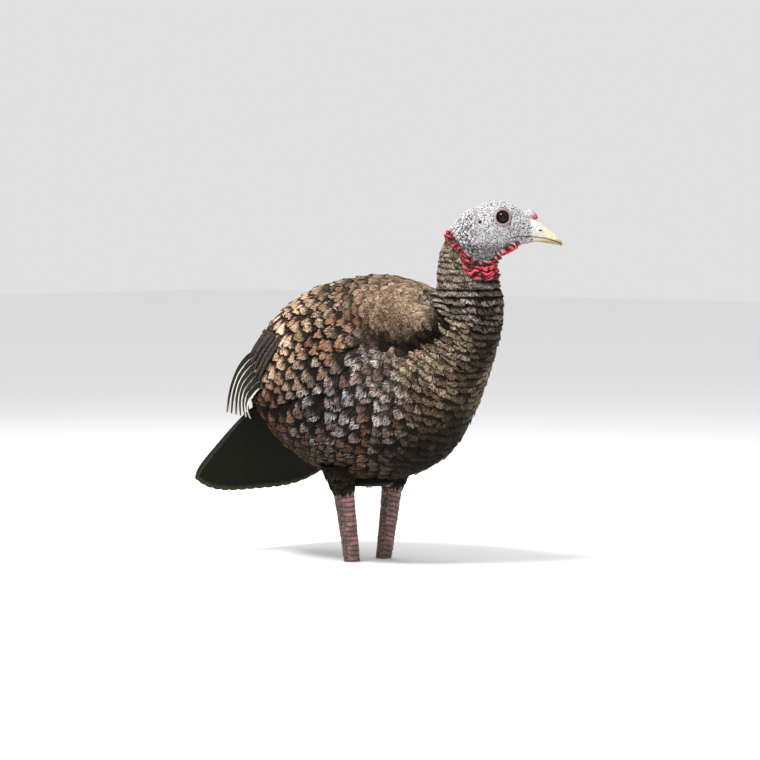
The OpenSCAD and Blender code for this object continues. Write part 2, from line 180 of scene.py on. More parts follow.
def plumage_material():
    """Painted feather relief. Each feather carries its colours: tone for the vane, light for its
    pale barbs, spot for the patch before its tip and rim for its edge. marks holds the strength of
    the barbs and of the spot, a random number and, in its alpha, how far the sides share the rim.
    The alpha of rim is the rim's strength."""
    s = Shader("plumage", gloss=0.04)
    x, t = s.on_feather()
    across = s.math("ABSOLUTE", x * 2.0 - 1.0)
    marks, beside = s.attribute("marks")
    barbs, spotted, chance = s.split(marks)
    tone, light, spot = (s.attribute(name)[0] for name in ("tone", "light", "spot"))
    rim, strength = s.attribute("rim")
    seed = chance * 90.0
    slant = t - across * 0.55
    strands = s.noise(1.0, 2.0, s.join(x * 3.0 + seed, slant * 30.0, seed))
    clumps = s.noise(1.0, 3.0, s.join(x * 6.0 + seed, slant * 7.0, seed))
    grain = s.noise(620.0, 3.0)
    vane = s.mix(grain.step(0.43, 0.55), s.mix(0.86, tone, BLACK), tone)
    pale = strands.step(0.44, 0.58) * clumps.step(0.32, 0.50) * barbs * grain.step(0.36, 0.50, 0.25)
    vane = s.mix(pale, vane, light)
    patch = across.step(0.8, 0.35) * t.step(0.45, 0.62) * t.step(0.95, 0.82) * spotted
    patch = patch * clumps.step(0.30, 0.5, 0.3) * grain.step(0.34, 0.5, 0.35)
    patch = patch * strands.step(0.38, 0.52, 0.35)
    vane = s.mix(patch, vane, spot)
    ragged = (clumps - 0.5) * 0.22
    edge = s.math("MAXIMUM", (across + ragged).step(0.70, 0.92) * beside, (t + ragged).step(0.86, 0.95))
    vane = s.mix(edge * strength, vane, rim)
    # Painted shade: each feather is darkened towards its root, just below the tip of the feather lying over
    # it.
    vane = s.mix((t + ragged).step(0.72, 0.50) * (strength * 0.7 + 0.25), vane, BLACK)
    height = strands * 0.9 + across.step(0.10, 0.0) * 0.5 + grain * 0.8
    return s.finish(vane, strands.step(0.3, 0.7, 0.85, 0.6), height, 0.0011)


def skin_material():
    """Painted bare skin. tint is its colour and the alpha of tint how far a fold or hollow is darkened with
    painted shade; pepper is the strength of the dark stipple."""
    s = Shader("bare_skin", gloss=0.35)
    tint, crease_shade = s.attribute("tint")
    pepper = s.split(s.attribute("pepper")[0])[0]
    fine = s.noise(860.0, 3.0)
    coarse = s.noise(300.0, 2.0)
    paint = s.mix(coarse.step(0.35, 0.65, 0.0, 0.25), tint, (0.9, 0.9, 0.93), "SOFT_LIGHT")
    dots = fine.step(0.47, 0.55) * coarse.step(0.32, 0.52, 0.3) * pepper
    paint = s.mix(dots, paint, (0.03, 0.03, 0.035))
    # Painted shade: folds and hollows turned near-black by the alpha of tint.
    paint = s.mix(crease_shade, paint, (0.008, 0.007, 0.007))
    return s.finish(paint, fine.step(0.3, 0.7, 0.55, 0.75), fine + coarse * 0.6, 0.0007)


def horn_material():
    s = Shader("horn", gloss=0.5)
    tint, crease_shade = s.attribute("tint")
    streaks = s.noise(260.0, 3.0)
    fine = s.noise(1600.0, 2.0)
    paint = s.mix(streaks.step(0.45, 0.7, 0.0, 0.45), tint, linear(176, 158, 108))
    paint = s.mix(fine.step(0.58, 0.70) * 0.3, paint, linear(90, 78, 52))
    # Painted shade: the mouth line and nostrils turned near-black by the alpha of tint.
    paint = s.mix(crease_shade, paint, linear(34, 28, 20))
    return s.finish(paint, streaks.step(0.3, 0.7, 0.35, 0.55), streaks + fine * 0.4, 0.0004)


def leg_material():
    s = Shader("leg_skin", gloss=0.45)
    tint, crease_shade = s.attribute("tint")
    fine = s.noise(900.0, 3.0)
    paint = s.mix(s.noise(160.0, 3.0).step(0.42, 0.62), tint, linear(86, 66, 52))
    paint = s.mix(fine.step(0.55, 0.68) * 0.55, paint, linear(176, 150, 140))
    # Painted shade: the cracks between scutes and scales darkened by the alpha of tint.
    paint = s.mix(crease_shade, paint, linear(30, 18, 17))
    return s.finish(paint, fine.step(0.3, 0.7, 0.42, 0.65), fine, 0.0004)


def tail_material():
    """Dark underside with faint brushed streaks; the upper side is barred. tint holds the base
    colour and its alpha the strength of the bars."""
    s = Shader("tail_paint", gloss=0.06)
    x, t = s.on_feather()
    tint, upper = s.attribute("tint")
    streak = s.noise(1.0, 3.0, s.join(x * 160.0, t * 5.0, 0.0))
    wave = s.noise(1.0, 2.0, s.join(x * 40.0, t * 3.0, 2.0))
    bars = s.math("SINE", t * 95.0 + wave * 9.0)
    barred = s.mix(bars.step(-0.2, 0.5), linear(36, 27, 21), linear(112, 78, 50))
    barred = s.mix(t.step(0.80, 0.84), barred, linear(18, 16, 15))
    barred = s.mix(t.step(0.93, 0.95), barred, linear(150, 112, 76))
    paint = s.mix(upper, tint, barred)
    paint = s.mix(streak.step(0.4, 0.7, 0.0, 0.3), paint, linear(44, 46, 36))
    return s.finish(paint, streak.step(0.3, 0.7, 0.7, 0.9), streak, 0.0003)


def eye_material(side):
    """A glossy eye: black pupil, dark brown iris and a darker outer edge."""
    s = Shader("eye_" + side, roughness=0.10, gloss=0.15)
    s.surface["Coat Weight"].default_value = 0.12
    s.surface["Coat Roughness"].default_value = 0.02
    sign = 1 if side == "left" else -1
    outward = Vector((sign * math.cos(HEAD_TURN), sign * math.sin(HEAD_TURN), 0.1)).normalized()
    from_centre = s.add("VectorMath", s.place(), eye_centre(sign), operation="SUBTRACT")
    facing = s.add("VectorMath", from_centre, outward, operation="DOT_PRODUCT", output="Value")
    height = facing * (1000 / EYE_R)
    iris = s.mix(s.noise(1800.0, 2.0), linear(20, 9, 6), linear(46, 24, 16))
    iris = s.mix(height.step(0.74, 0.62), iris, linear(10, 6, 5))
    s.put(s.surface["Base Color"], s.mix(height.step(0.80, 0.83), iris, (0.001, 0.001, 0.001)))
    return s.material


def plain_material(name, colour, roughness, speckle=0.12, metallic=0.0, gloss=0.5):
    """Moulded or turned stock: an even colour with faint mottling and a fine surface grain."""
    s = Shader(name, gloss=gloss)
    s.surface["Metallic"].default_value = metallic
    mottle = s.noise(90.0, 3.0).step(0.35, 0.7, 0.0, speckle * 4)
    grain = s.noise(1400.0, 2.0)
    rough = grain.step(0.3, 0.7, roughness * 0.8, min(roughness * 1.3, 1.0))
    return s.finish(s.mix(mottle, colour, np.array(colour) * 0.55), rough, grain, 0.0001)


# ---- camera, light and floor ----

CAMERA_AZIMUTH = -48
CAMERA_ELEVATION = 3
CAMERA_DISTANCE = 4.0
VIEW_WIDTH = 0.790
SENSOR = 36
TARGET_RIGHT = 0.0125
TARGET_HEIGHT = 0.109
FLOOR_HEIGHT = -0.0785


def direction(azimuth, elevation):
    """From the object towards a camera or light at that bearing."""
    turn = math.radians(azimuth)
    tilt = math.radians(elevation)
    return Vector((math.sin(turn) * math.cos(tilt), -math.cos(turn) * math.cos(tilt), math.sin(tilt)))


def link(name, data):
    made = bpy.data.objects.new(name, data)
    bpy.context.collection.objects.link(made)
    return made


def add_camera():
    away = direction(CAMERA_AZIMUTH, CAMERA_ELEVATION)
    turn = math.radians(CAMERA_AZIMUTH)
    target = Vector((math.cos(turn), math.sin(turn), 0)) * TARGET_RIGHT
    target.z = TARGET_HEIGHT
    data = bpy.data.cameras.new("camera")
    data.sensor_width = SENSOR
    data.lens = SENSOR * CAMERA_DISTANCE / VIEW_WIDTH
    camera = link("camera", data)
    camera.location = target + away * CAMERA_DISTANCE
    camera.rotation_euler = away.to_track_quat("Z", "Y").to_euler()
    bpy.context.scene.camera = camera


def add_area_light(name, azimuth, elevation, distance, size, power):
    away = direction(azimuth, elevation)
    data = bpy.data.lights.new(name, "AREA")
    data.energy = power
    data.size = size
    light = link(name, data)
    light.location = Vector((0, 0, 0.12)) + away * distance
    light.rotation_euler = away.to_track_quat("Z", "Y").to_euler()


def add_studio():
    world = bpy.data.worlds.new("studio")
    world.use_nodes = True
    world.node_tree.nodes["Background"].inputs["Color"].default_value = (1, 1, 1, 1)
    world.node_tree.nodes["Background"].inputs["Strength"].default_value = 0.75
    bpy.context.scene.world = world
    bpy.context.scene.view_settings.view_transform = "Standard"
    add_area_light("key", -84, 62, 1.6, 0.5, 36)
    add_area_light("fill", -30, 15, 2.4, 1.4, 7)
    add_area_light("back", 150, 45, 2.0, 1.0, 12)
    bpy.ops.mesh.primitive_plane_add(size=14, location=(0, 0, FLOOR_HEIGHT))
    floor = bpy.context.object
    floor.name = "floor"
    floor.data.materials.append(plain_material("floor", (0.93, 0.93, 0.93), 0.9, speckle=0.0))


# ---- skins ----

BODY_HALF_WIDTH = 98
# Back forward and height, breast forward and height, half width as a share, widest place.
BODY_RINGS = np.array([
    [105.6, 206, 171.6, 206, 0.337, 0.5],
    [104, 199, 173.6, 190, 0.352, 0.5],
    [101, 197, 172.5, 170, 0.36, 0.51],
    [94, 200, 167, 150, 0.41, 0.52],
    [82, 206, 156, 131, 0.515, 0.52],
    [64, 212, 143, 110, 0.64, 0.51],
    [42, 217, 128, 84, 0.77, 0.5],
    [16, 219, 110, 55, 0.875, 0.5],
    [-12, 217, 86, 27, 0.965, 0.51],
    [-42, 211, 53, 11, 1, 0.53],
    [-73, 200, 10, 4, 0.965, 0.55],
    [-102, 183, -31, 8, 0.87, 0.56],
    [-124, 162, -66, 24, 0.73, 0.55],
    [-140, 138, -90, 44, 0.58, 0.54],
    [-149, 113, -104, 60, 0.45, 0.52],
    [-152, 90, -112, 74.7, 0.345, 0.5],
])
RUMP = 15
# Crown forward and height, throat forward and height and half width, in the head's own plane.
HEAD_RINGS = np.array([
    [-33, 206, 33, 206, 33, 0.5],
    [-31.7, 232, 32, 210, 31, 0.5],
    [-25.5, 254.8, 30.7, 215.8, 27.5, 0.5],
    [-19.2, 267.3, 27, 229.8, 24.5, 0.5],
    [-10.9, 277.2, 29.1, 236.1, 22.5, 0.5],
    [1, 286.5, 35.4, 241.8, 20.5, 0.5],
    [15.1, 293.8, 41.1, 246, 19.2, 0.5],
    [29.6, 295.6, 46.3, 248.6, 17.6, 0.5],
    [41.1, 292.8, 51.5, 251.2, 14.6, 0.5],
    [52.5, 285.5, 57.7, 252.9, 10.8, 0.5],
    [62.9, 278.7, 64, 253.8, 8.4, 0.5],
    [69.7, 274.6, 70.2, 253.8, 7.4, 0.5],
    [81.6, 265.9, 81.6, 252, 5.4, 0.5],
    [91, 257.6, 90, 250.3, 3.2, 0.5],
    [94.7, 252.7, 93.7, 249.4, 1.4, 0.5],
])
BEAK_START = 10
BEAK_END = 14
HEAD_TURN = math.radians(42)
NECK_FORWARD = 138.6
NECK_Z = 206


def along(rings, u):
    """Catmull-Rom curve through the rings, at places counted in rings."""
    last = len(rings) - 1
    padded = np.vstack([2 * rings[0] - rings[1], rings, 2 * rings[last] - rings[last - 1]])
    i = np.clip(np.floor(u).astype(int), 0, last - 1)
    t = (u - i)[..., None]
    a, b, c, d = (padded[i + k] for k in range(4))
    return 0.5 * (2 * b + (c - a) * t + (2 * a - 5 * b + 4 * c - d) * t**2 + (3 * b - a - 3 * c + d) * t**3)


def oval_points(rings, u, a, half_width=1.0):
    r = along(rings, u)
    top, low = r[..., 0:2], r[..., 2:4]
    centre = top + (low - top) * r[..., 5:6]
    c = np.cos(np.radians(a))[..., None]
    p = centre + c * np.where(c > 0, top - centre, centre - low)
    return xyz(r[..., 4] * half_width * np.sin(np.radians(a)), -p[..., 0], p[..., 1])


def body_points(u, a):
    return oval_points(BODY_RINGS, u, a, BODY_HALF_WIDTH)


def head_points(u, a):
    return oval_points(HEAD_RINGS, u, a)


def at_head(p):
    """Puts points of the head's own plane where the head stands, turned on its neck."""
    return turned(p, 0, 1, HEAD_TURN) - (0, NECK_FORWARD, 0)


EYE_R = 6.4
EYE_PLACE = (12.9, 33.2, 278.9)


def eye_centre(sign):
    x, forward, z = EYE_PLACE
    return Vector(at_head(np.array([sign * x, -forward, z])) * MM)


class Skin:
    """A surface sampled on a grid, with its outward normals and its stretch along u and a."""

    def __init__(self, points, low, high, relief=None, outward=1, steps=321):
        self.low, self.high, self.steps = low, high, steps
        self.u, self.a = grid(np.linspace(low, high, steps), np.arange(-180, 181))
        self.outward = outward
        self.p = points(self.u, self.a)
        self.measure()
        if relief is not None:
            self.p = self.p + self.n * relief(self.u, self.a)[..., None]
            self.measure()

    def measure(self):
        self.du = np.gradient(self.p, axis=0) * (self.steps - 1) / (self.high - self.low)
        ring = self.p[:, :-1]
        da = (np.roll(ring, -1, axis=1) - np.roll(ring, 1, axis=1)) / 2
        self.da = np.concatenate([da, da[:, :1]], axis=1)
        self.n = unit(np.cross(self.da, self.du)) * self.outward

    def read(self, table, u, a):
        x = np.clip((u - self.low) / (self.high - self.low), 0, 1) * (self.steps - 1)
        y = (a + 180) % 360
        i = np.minimum(x.astype(int), self.steps - 2)
        j = np.minimum(y.astype(int), 359)
        s, t = (x - i)[..., None], (y - j)[..., None]
        low = table[i, j] * (1 - t) + table[i, j + 1] * t
        return low * (1 - s) + (table[i + 1, j] * (1 - t) + table[i + 1, j + 1] * t) * s

    def point(self, u, a, height=0.0):
        beyond = u - np.clip(u, self.low, self.high)
        base = self.read(self.p, u, a) + self.read(self.du, u, a) * beyond[..., None]
        return base + unit(self.read(self.n, u, a)) * np.asarray(height)[..., None]


# The lower edge of the mantle, where the shoulder's pillow of feathers ends in a dark fold.
FOLD_U = [-1, 0.3, 0.8, 1.5, 2.3, 3.3, 4.0, 4.7, 5.2, 5.6, 5.9, 6.2, 6.8, 7.4]
FOLD_A = [40, 50, 66, 87, 102, 106, 109, 105, 99, 93, 84, 75, 62, 30]


def above_fold(u, a):
    """Degrees above the mantle's lower edge, negative below it."""
    return np.interp(u, FOLD_U, FOLD_A, right=-90) - np.abs(a)


def body_relief(u, a):
    """Millimetres outward: the mantle's pillow, the gully under it and a flatter back."""
    over = above_fold(u, a)
    present = rise(u, -0.2, 1.4) * rise(u, 7.6, 6.6)
    pillow = 8.0 * rise(over, 0, 15) * (1 - rise(over, 20, 68)) * present
    gully = 2.2 * hump(over, -4, 7) * rise(u, 0.3, 1.5) * rise(u, 6.9, 5.9)
    flatter = 2.0 * rise(u, 1.5, 3.5) * rise(u, 9, 6) * rise(np.abs(a), 65, 30)
    return pillow - gully - flatter - 0.4 - 1.7 * rise(u, 0.2, 2.5)


# ---- meshes ----


def with_alpha(colour, alpha):
    return np.concatenate([colour, alpha[..., None]], axis=-1)


def towards(colour, other, share):
    """A colour moved a share of the way to another."""
    return colour + (other - colour) * share[..., None]


def with_ends(table, first, last):
    """The values over a tube of points, then those of its two closing points."""
    return np.concatenate([table.reshape(-1, 4), [first, last]])


def make_mesh(name, points, faces, material, body, colours=None, uv=None, replaces=()):
    """A smooth piece from points in millimetres. colours holds a colour per point by name."""
    mesh = bpy.data.meshes.new(name)
    mesh.from_pydata((points.reshape(-1, 3) * MM).tolist(), [], list(map(list, faces)))
    mesh.shade_smooth()
    for key, values in (colours or {}).items():
        layer = mesh.attributes.new(key, "FLOAT_COLOR", "POINT")
        layer.data.foreach_set("color", values.astype(np.float32).ravel())
    if uv is not None:
        corners = np.empty(len(mesh.loops), int)
        mesh.loops.foreach_get("vertex_index", corners)
        mesh.uv_layers.new(name="feather").uv.foreach_set("vector", uv[corners].astype(np.float32).ravel())
    mesh.materials.append(material)
    piece = link(name, mesh)
    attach(piece, body)
    if replaces:
        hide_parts(*replaces)
    return piece


def grid_faces(rows, cols, wrap=False, close=False):
    """Quads over a grid of points, closed round each row if wrap is set and round each column if
    close is set."""
    i, j = grid(np.arange(rows if close else rows - 1), np.arange(cols if wrap else cols - 1))
    row, next_row = i * cols, (i + 1) % rows * cols
    k = (j + 1) % cols
    return xyz(row + j, row + k, next_row + k, next_row + j).reshape(-1, 4)


def slab_faces(rows, cols):
    """Faces of a closed slab: a front grid, then a back grid of the same size behind it."""
    front = grid_faces(rows, cols)
    back = front[:, ::-1] + rows * cols
    edge = np.concatenate([
        np.arange(cols - 1),
        np.arange(rows - 1) * cols + cols - 1,
        (rows - 1) * cols + np.arange(cols - 1, 0, -1),
        np.arange(rows - 1, 0, -1) * cols,
    ])
    following = np.roll(edge, -1)
    sides = xyz(following, edge, edge + rows * cols, following + rows * cols)
    return np.concatenate([front, back, sides])


def closed_tube(points, outward=1):
    """Adds a middle point at each end of a tube of rings, and gives its points and faces."""
    rows, cols = points.shape[:2]
    faces = grid_faces(rows, cols, wrap=True).tolist()
    first, last = rows * cols, rows * cols + 1
    base = (rows - 1) * cols
    faces += [[first, (k + 1) % cols, k] for k in range(cols)]
    faces += [[last, base + k, base + (k + 1) % cols] for k in range(cols)]
    if outward < 0:
        faces = [f[::-1] for f in faces]
    ends = np.stack([points[0].mean(axis=0), points[-1].mean(axis=0)])
    return np.concatenate([points.reshape(-1, 3), ends]), faces


# ---- feathers ----


def layers(colours):
    """Colour layers of feathers from a point's four colours with a fourth value each, and one more."""
    made = {key: colours[:, 4 * i : 4 * i + 4] for i, key in enumerate(("tone", "light", "spot", "rim"))}
    strengths = [made["light"][:, 3:], made["spot"][:, 3:], made["tone"][:, 3:], colours[:, 16:]]
    made["marks"] = np.concatenate(strengths, axis=1)
    return made


def make_leaves(name, points, style, down, body, replaces):
    """One piece of many closed leaves. style holds the colour values of each leaf, and down how far
    down a feather's paint each row of it lies."""
    n, per = points.shape[:2]
    rows = down.shape[1]
    cols = per // rows // 2
    faces = slab_faces(rows, cols)[None] + (np.arange(n) * per)[:, None, None]
    sheet = xyz(np.linspace(0, 1, cols), down[:, None, :, None])
    uv = np.repeat(sheet, 2, axis=1).reshape(-1, 2)
    colours = layers(np.repeat(style, per, axis=0))
    make_mesh(name, points, faces.reshape(-1, 4), PLUMAGE, body, colours, uv, replaces)


LEAF_ROWS = 10
LEAF_COLS = 7
ROOT_DEPTH = 0.6


class Plumes:
    """Feathers gathered for one piece: closed leaves laid on a skin, each with its colours."""

    def __init__(self, skin, place=None, seed=1):
        self.skin = skin
        self.place = place or (lambda p: p)
        self.random = np.random.default_rng(seed)
        self.points, self.styles, self.starts = [], [], []

    def lay(self, u, a, length, width, style, flow=1, lift=2.0, cup=0.5, blunt=1.0,
            fray=0.06, start=0.0, yaw=0.0):
        """Lays one feather at each root u, a. Sizes are in millimetres, and may be one per feather.
        A feather whose root is cut short shows its paint from start on, and yaw in degrees turns each
        feather towards a greater angle."""
        n = len(u)
        full = lambda x: np.broadcast_to(np.asarray(x, float), n)[:, None, None]
        t = np.linspace(0, 1, LEAF_ROWS)[None, :, None] ** 0.9
        s = np.linspace(-1, 1, LEAF_COLS)[None, None, :]
        grow = np.minimum(t / 0.6, 1)
        fall = np.maximum((t - 0.6) / 0.4, 0)
        half = (0.5 + 0.5 * np.sin(grow * math.pi / 2)) * (1 - 0.5 * fall**2)
        ragged = self.random.normal(0, 1, (n, 1, LEAF_COLS)) * full(fray) * t**5
        forward = full(length) * (t - 0.24 * full(blunt) * s**2 * t**3 + ragged)
        side = full(width) / 2 * half * s
        turn = np.radians(full(yaw) + self.random.normal(0, 7.0, (n, 1, 1)))
        ahead = forward * np.cos(turn) - side * np.sin(turn)
        over = forward * np.sin(turn) + side * np.cos(turn)
        skin = self.skin
        along_u, along_a = (full(np.linalg.norm(skin.read(way, u, a), axis=-1)) for way in (skin.du, skin.da))
        uu = full(u) + flow * ahead / along_u
        aa = full(a) + over / along_a
        height = full(lift) * t**1.25 - full(cup) * s**2 + 0.25 * (1 - np.abs(s)) - ROOT_DEPTH
        thin = 0.45 * (1 - 0.35 * s**2)
        front, back = skin.point(uu, aa, height), skin.point(uu, aa, height - thin)
        if flow * skin.outward < 0:
            front, back = front[:, :, ::-1], back[:, :, ::-1]
        self.points.append(self.place(np.stack([front, back], axis=1)).reshape(n, -1, 3))
        self.styles.append(style)
        self.starts.append(full(start)[:, 0])

    def finish(self, name, body):
        start = np.concatenate(self.starts)
        down = start + (1 - start) * np.linspace(0, 1, LEAF_ROWS) ** 0.9
        points, style = np.concatenate(self.points), np.concatenate(self.styles)
        make_leaves(name, points, style, down, body, ())


PAINT = {name: linear(*colour) for name, colour in {
    "black": (11, 9, 8),
    "soot": (44, 37, 33),
    "slate": (88, 77, 70),
    "umber": (90, 72, 57),
    "earth": (126, 102, 84),
    "tan": (166, 137, 112),
    "sand": (222, 196, 164),
    "peach": (212, 157, 113),
    "copper": (142, 90, 62),
    "rust": (104, 64, 42),
    "bark": (62, 48, 37),
    "silver": (226, 222, 224),
    "dust": (180, 166, 152),
    "olive": (36, 32, 22),
    "moss": (74, 68, 48),
    "plum": (57, 48, 49),
    "bone": (228, 224, 210),
}.items()}

# How the plumage changes over the body. Ring, angle from the back, spacing of the rows and in a
# row, length in rows, lift, then the vane, barbs, spot and rim, and the strength of the last three.
# The rows near 172 degrees, along the underside, carry the darkest paints.
TRACTS = [
    (0.5, 20, 6.6, 10, 2.1, 2.7, "slate", "dust", "tan", "black", 0.85, 0, 1),
    (0.8, 100, 6.7, 10, 2.1, 2.7, "slate", "dust", "tan", "black", 0.9, 0, 1),
    (0.8, 170, 6.8, 10, 2.1, 2.7, "soot", "dust", "tan", "black", 0.8, 0, 1),
    (2.6, 105, 6.8, 9, 2.1, 2.3, "umber", "sand", "tan", "black", 0.85, 0.1, 0.9),
    (2.6, 60, 5.6, 7.5, 2.2, 1.2, "earth", "sand", "tan", "soot", 0.75, 0.2, 0.1),
    (4.8, 30, 7, 10, 2.1, 1.5, "earth", "sand", "copper", "soot", 0.75, 0.4, 0.3),
    (4.6, 90, 5.8, 7.5, 2.2, 1.2, "umber", "tan", "tan", "soot", 0.75, 0.1, 0.1),
    (4.6, 122, 7.5, 9, 2.1, 1.9, "umber", "sand", "tan", "black", 0.8, 0.1, 0.5),
    (3, 172, 7.6, 11, 2, 2.4, "olive", "moss", "umber", "black", 0.45, 0, 1),
    (3.2, 140, 7.2, 10, 2.1, 2.5, "umber", "dust", "tan", "black", 0.95, 0.1, 1),
    (5, 143, 9, 11, 2.1, 2.4, "umber", "sand", "rust", "black", 0.9, 0.2, 1),
    (6.6, 112, 12, 11, 2, 2.5, "umber", "silver", "copper", "black", 0.8, 0.35, 0.8),
    (8.3, 100, 17.5, 11, 1.95, 2.9, "soot", "silver", "rust", "black", 0.9, 0.5, 1),
    (8.6, 124, 17.5, 11, 1.95, 2.9, "bark", "dust", "rust", "black", 0.6, 0.6, 1),
    (9.5, 140, 15, 11.5, 2, 2.8, "bark", "umber", "rust", "black", 0.45, 0.5, 1),
    (7, 172, 10, 12, 2, 2.2, "olive", "moss", "umber", "black", 0.25, 0, 0.9),
    (10.5, 172, 10, 12, 2, 2.2, "olive", "moss", "umber", "black", 0.3, 0, 0.8),
    (7, 25, 14, 13.5, 2, 2.6, "umber", "sand", "rust", "black", 0.75, 0.6, 0.9),
    (7.8, 68, 14.5, 12, 2, 2.8, "umber", "sand", "copper", "black", 0.8, 0.8, 1),
    (10, 20, 18, 16, 1.9, 3.2, "peach", "sand", "bone", "black", 0.85, 0.4, 1),
    (9.8, 52, 18, 15, 1.9, 3.2, "peach", "sand", "bone", "black", 0.85, 0.4, 1),
    (12.5, 30, 17, 17, 1.9, 3, "umber", "peach", "copper", "black", 0.6, 0.8, 1),
    (10.6, 92, 19, 11, 2.1, 3, "bark", "copper", "copper", "black", 0.4, 0.5, 1),
    (11.8, 110, 19, 11, 2.2, 3, "bark", "rust", "rust", "black", 0.35, 0.6, 1),
    (12.5, 145, 17, 12, 2.3, 2.8, "olive", "rust", "rust", "black", 0.35, 0.5, 1),
    (14, 70, 16, 13, 2, 2.6, "bark", "rust", "rust", "black", 0.4, 0.5, 1),
]


def large(row_spacing):
    """0 for the small feathers that close up into bands, 1 for those that show their whole edge."""
    return float(rise(row_spacing, 7, 12))


def look(sizes, vane, barbs, spot, rim, barb_strength, spot_strength, rim_strength, bold):
    """One row of values: sizes, the four colours with room for a fourth value each, and the boldness."""
    return [*sizes, *vane, 0, *barbs, barb_strength, *spot, spot_strength, *rim, rim_strength, bold]


TRACT_PLACES = np.array([row[:2] for row in TRACTS])
TRACT_VALUES = np.array([
    look(row[2:6], *(PAINT[key] for key in row[6:10]), *row[10:], large(row[2])) for row in TRACTS
])
# How far a tract's look reaches, in rings and in degrees.
TRACT_REACH = (1.1, 20)


def tract_at(u, a):
    """Row spacing, column spacing, length in rows, lift and the colour values at a place."""
    apart = (xyz(u, np.abs(a))[..., None, :] - TRACT_PLACES) / TRACT_REACH
    near = (apart**2).sum(axis=-1)
    weight = np.exp(-near) + 1e-7 / (1 + near)
    return (weight[..., None] * TRACT_VALUES).sum(axis=-2) / weight.sum(axis=-1)[..., None]


def roots(skin, low, high, tract, jitter, random):
    """Roots of feathers in staggered rows between two places along a skin, evenly spread over it."""
    keep = (skin.u[:, 0] >= low) & (skin.u[:, 0] <= high)
    u, a = skin.u[keep], skin.a[keep]
    values = tract(u, a)
    stretch = np.linalg.norm(skin.du[keep], axis=-1)
    pace = stretch / values[..., 0]
    step = u[1, 0] - u[0, 0]
    count = np.cumsum((pace[1:] + pace[:-1]) / 2 * step, axis=0)
    count = np.vstack([np.zeros((1, count.shape[1])), count])
    found_u, found_a = [], []
    angles = a[0]
    for k in np.arange(0.35, count.max(), 1.0):
        here = np.array([np.interp(k, count[:, j], u[:, j], right=np.nan) for j in range(len(angles))])
        shown = np.where(np.isnan(here), u[-1, 0], here)
        p = skin.point(shown, angles)
        gap = np.linalg.norm(np.diff(p, axis=0), axis=-1)
        across = tract(shown, angles)[:, 1]
        run = np.concatenate([[0], np.cumsum(gap / ((across[1:] + across[:-1]) / 2))])
        number = max(int(round(run[-1])), 3)
        spots = (np.arange(number) + 0.5 * (int(k) % 2) + random.uniform(-jitter, jitter, number)) / number
        root_a = np.interp(spots * run[-1], run, angles)
        root_u = np.interp(root_a, angles, here)
        root_u = root_u + random.uniform(-jitter, jitter, number) * 0.35
        good = ~np.isnan(root_u)
        found_u.append(root_u[good])
        found_a.append(root_a[good])
    return np.concatenate(found_u), np.concatenate(found_a)


# Where each of the four colours starts in a feather's colour values.
COLOUR_STARTS = (0, 4, 8, 12)


def styled(values, random):
    """Colour values for each feather, with its own brightness, strengths and random number."""
    style = values[:, 4:].copy()
    n = len(style)
    bright = np.exp(random.normal(0, 0.16, (n, 1)))
    for k in COLOUR_STARTS:
        style[:, k : k + 3] *= bright * np.exp(random.normal(0, 0.03, (n, 3)))
    style[:, 7] *= random.choice([0.25, 0.7, 1.0, 1.0], n)
    style[:, 11] *= random.choice([0.0, 0.35, 1.0, 1.0], n)
    style[:, 3] = random.uniform(0, 1, n)
    return style


def strengthen(style, factor):
    """Scales all four colours of each feather."""
    for k in COLOUR_STARTS:
        style[:, k : k + 3] *= factor[:, None]


def near_stake(p, reach):
    return (np.hypot(p[:, 0], p[:, 1]) < reach) & (p[:, 2] < 40)


def inside_thigh(p):
    return (np.hypot(np.abs(p[:, 0]) - LEG_HALF_TOP, p[:, 1]) < 17) & (p[:, 2] < 40)


def cover_body(skin):
    """The whole body's plumage, in one piece for each stretch of it."""
    random = np.random.default_rng(7)
    u, a = roots(skin, -0.02, RUMP, tract_at, 0.16, random)
    values = tract_at(u, a)
    style = styled(values, random)
    over = above_fold(u, a)
    # Part black paint, part painted shade: feathers in the fold under the mantle's pillow are darkened.
    shade = 0.95 * rise(over, -5, 0) * rise(over, 25, 5) * rise(u, 0.6, 1.6) * rise(u, 6.6, 5.6)
    strengthen(style, 1 - shade)
    row, column, stretch, lift = values[:, :4].T
    p = skin.point(u, a)
    length = row * stretch
    tip = skin.point(u + length / np.linalg.norm(skin.read(skin.du, u, a), axis=-1), a)
    keep = ~(inside_thigh(p) | near_stake(p, PAD_R + 1) | near_stake(tip, PAD_R))
    keep &= (u < 13.9) | (np.abs(a) < 115)
    tracts = {
        "neck_plumage": u < 3.0,
        "mantle_plumage": (u >= 3.0) & (u < 6.5),
        "flank_plumage": (u >= 6.5) & (np.abs(a) >= 80),
        "back_plumage": (u >= 6.5) & (np.abs(a) < 80),
    }
    for name, chosen in tracts.items():
        chosen = chosen & keep
        n = chosen.sum()
        size = random.normal(1, 0.07, n)
        plumes = Plumes(skin, seed=11)
        bold = style[chosen, 16]
        width = column[chosen] * (1.75 - 0.37 * bold) * size
        plumes.lay(u[chosen], a[chosen], length[chosen] * size, width, style[chosen],
                   lift=lift[chosen] * random.normal(1, 0.15, n), cup=column[chosen] * 0.05,
                   blunt=0.3 + 0.7 * bold, fray=0.03 + 0.02 * bold,
                   yaw=droop(u[chosen], a[chosen]))
        if name == "neck_plumage":
            add_top_row(plumes, random)
        plumes.finish(name, "body")


def droop(u, a):
    """How far in degrees the feathers of the flanks hang down from the body's length."""
    return 24 * np.sign(a) * rise(u, 6, 8) * hump(np.abs(a) - 95, 0, 30)


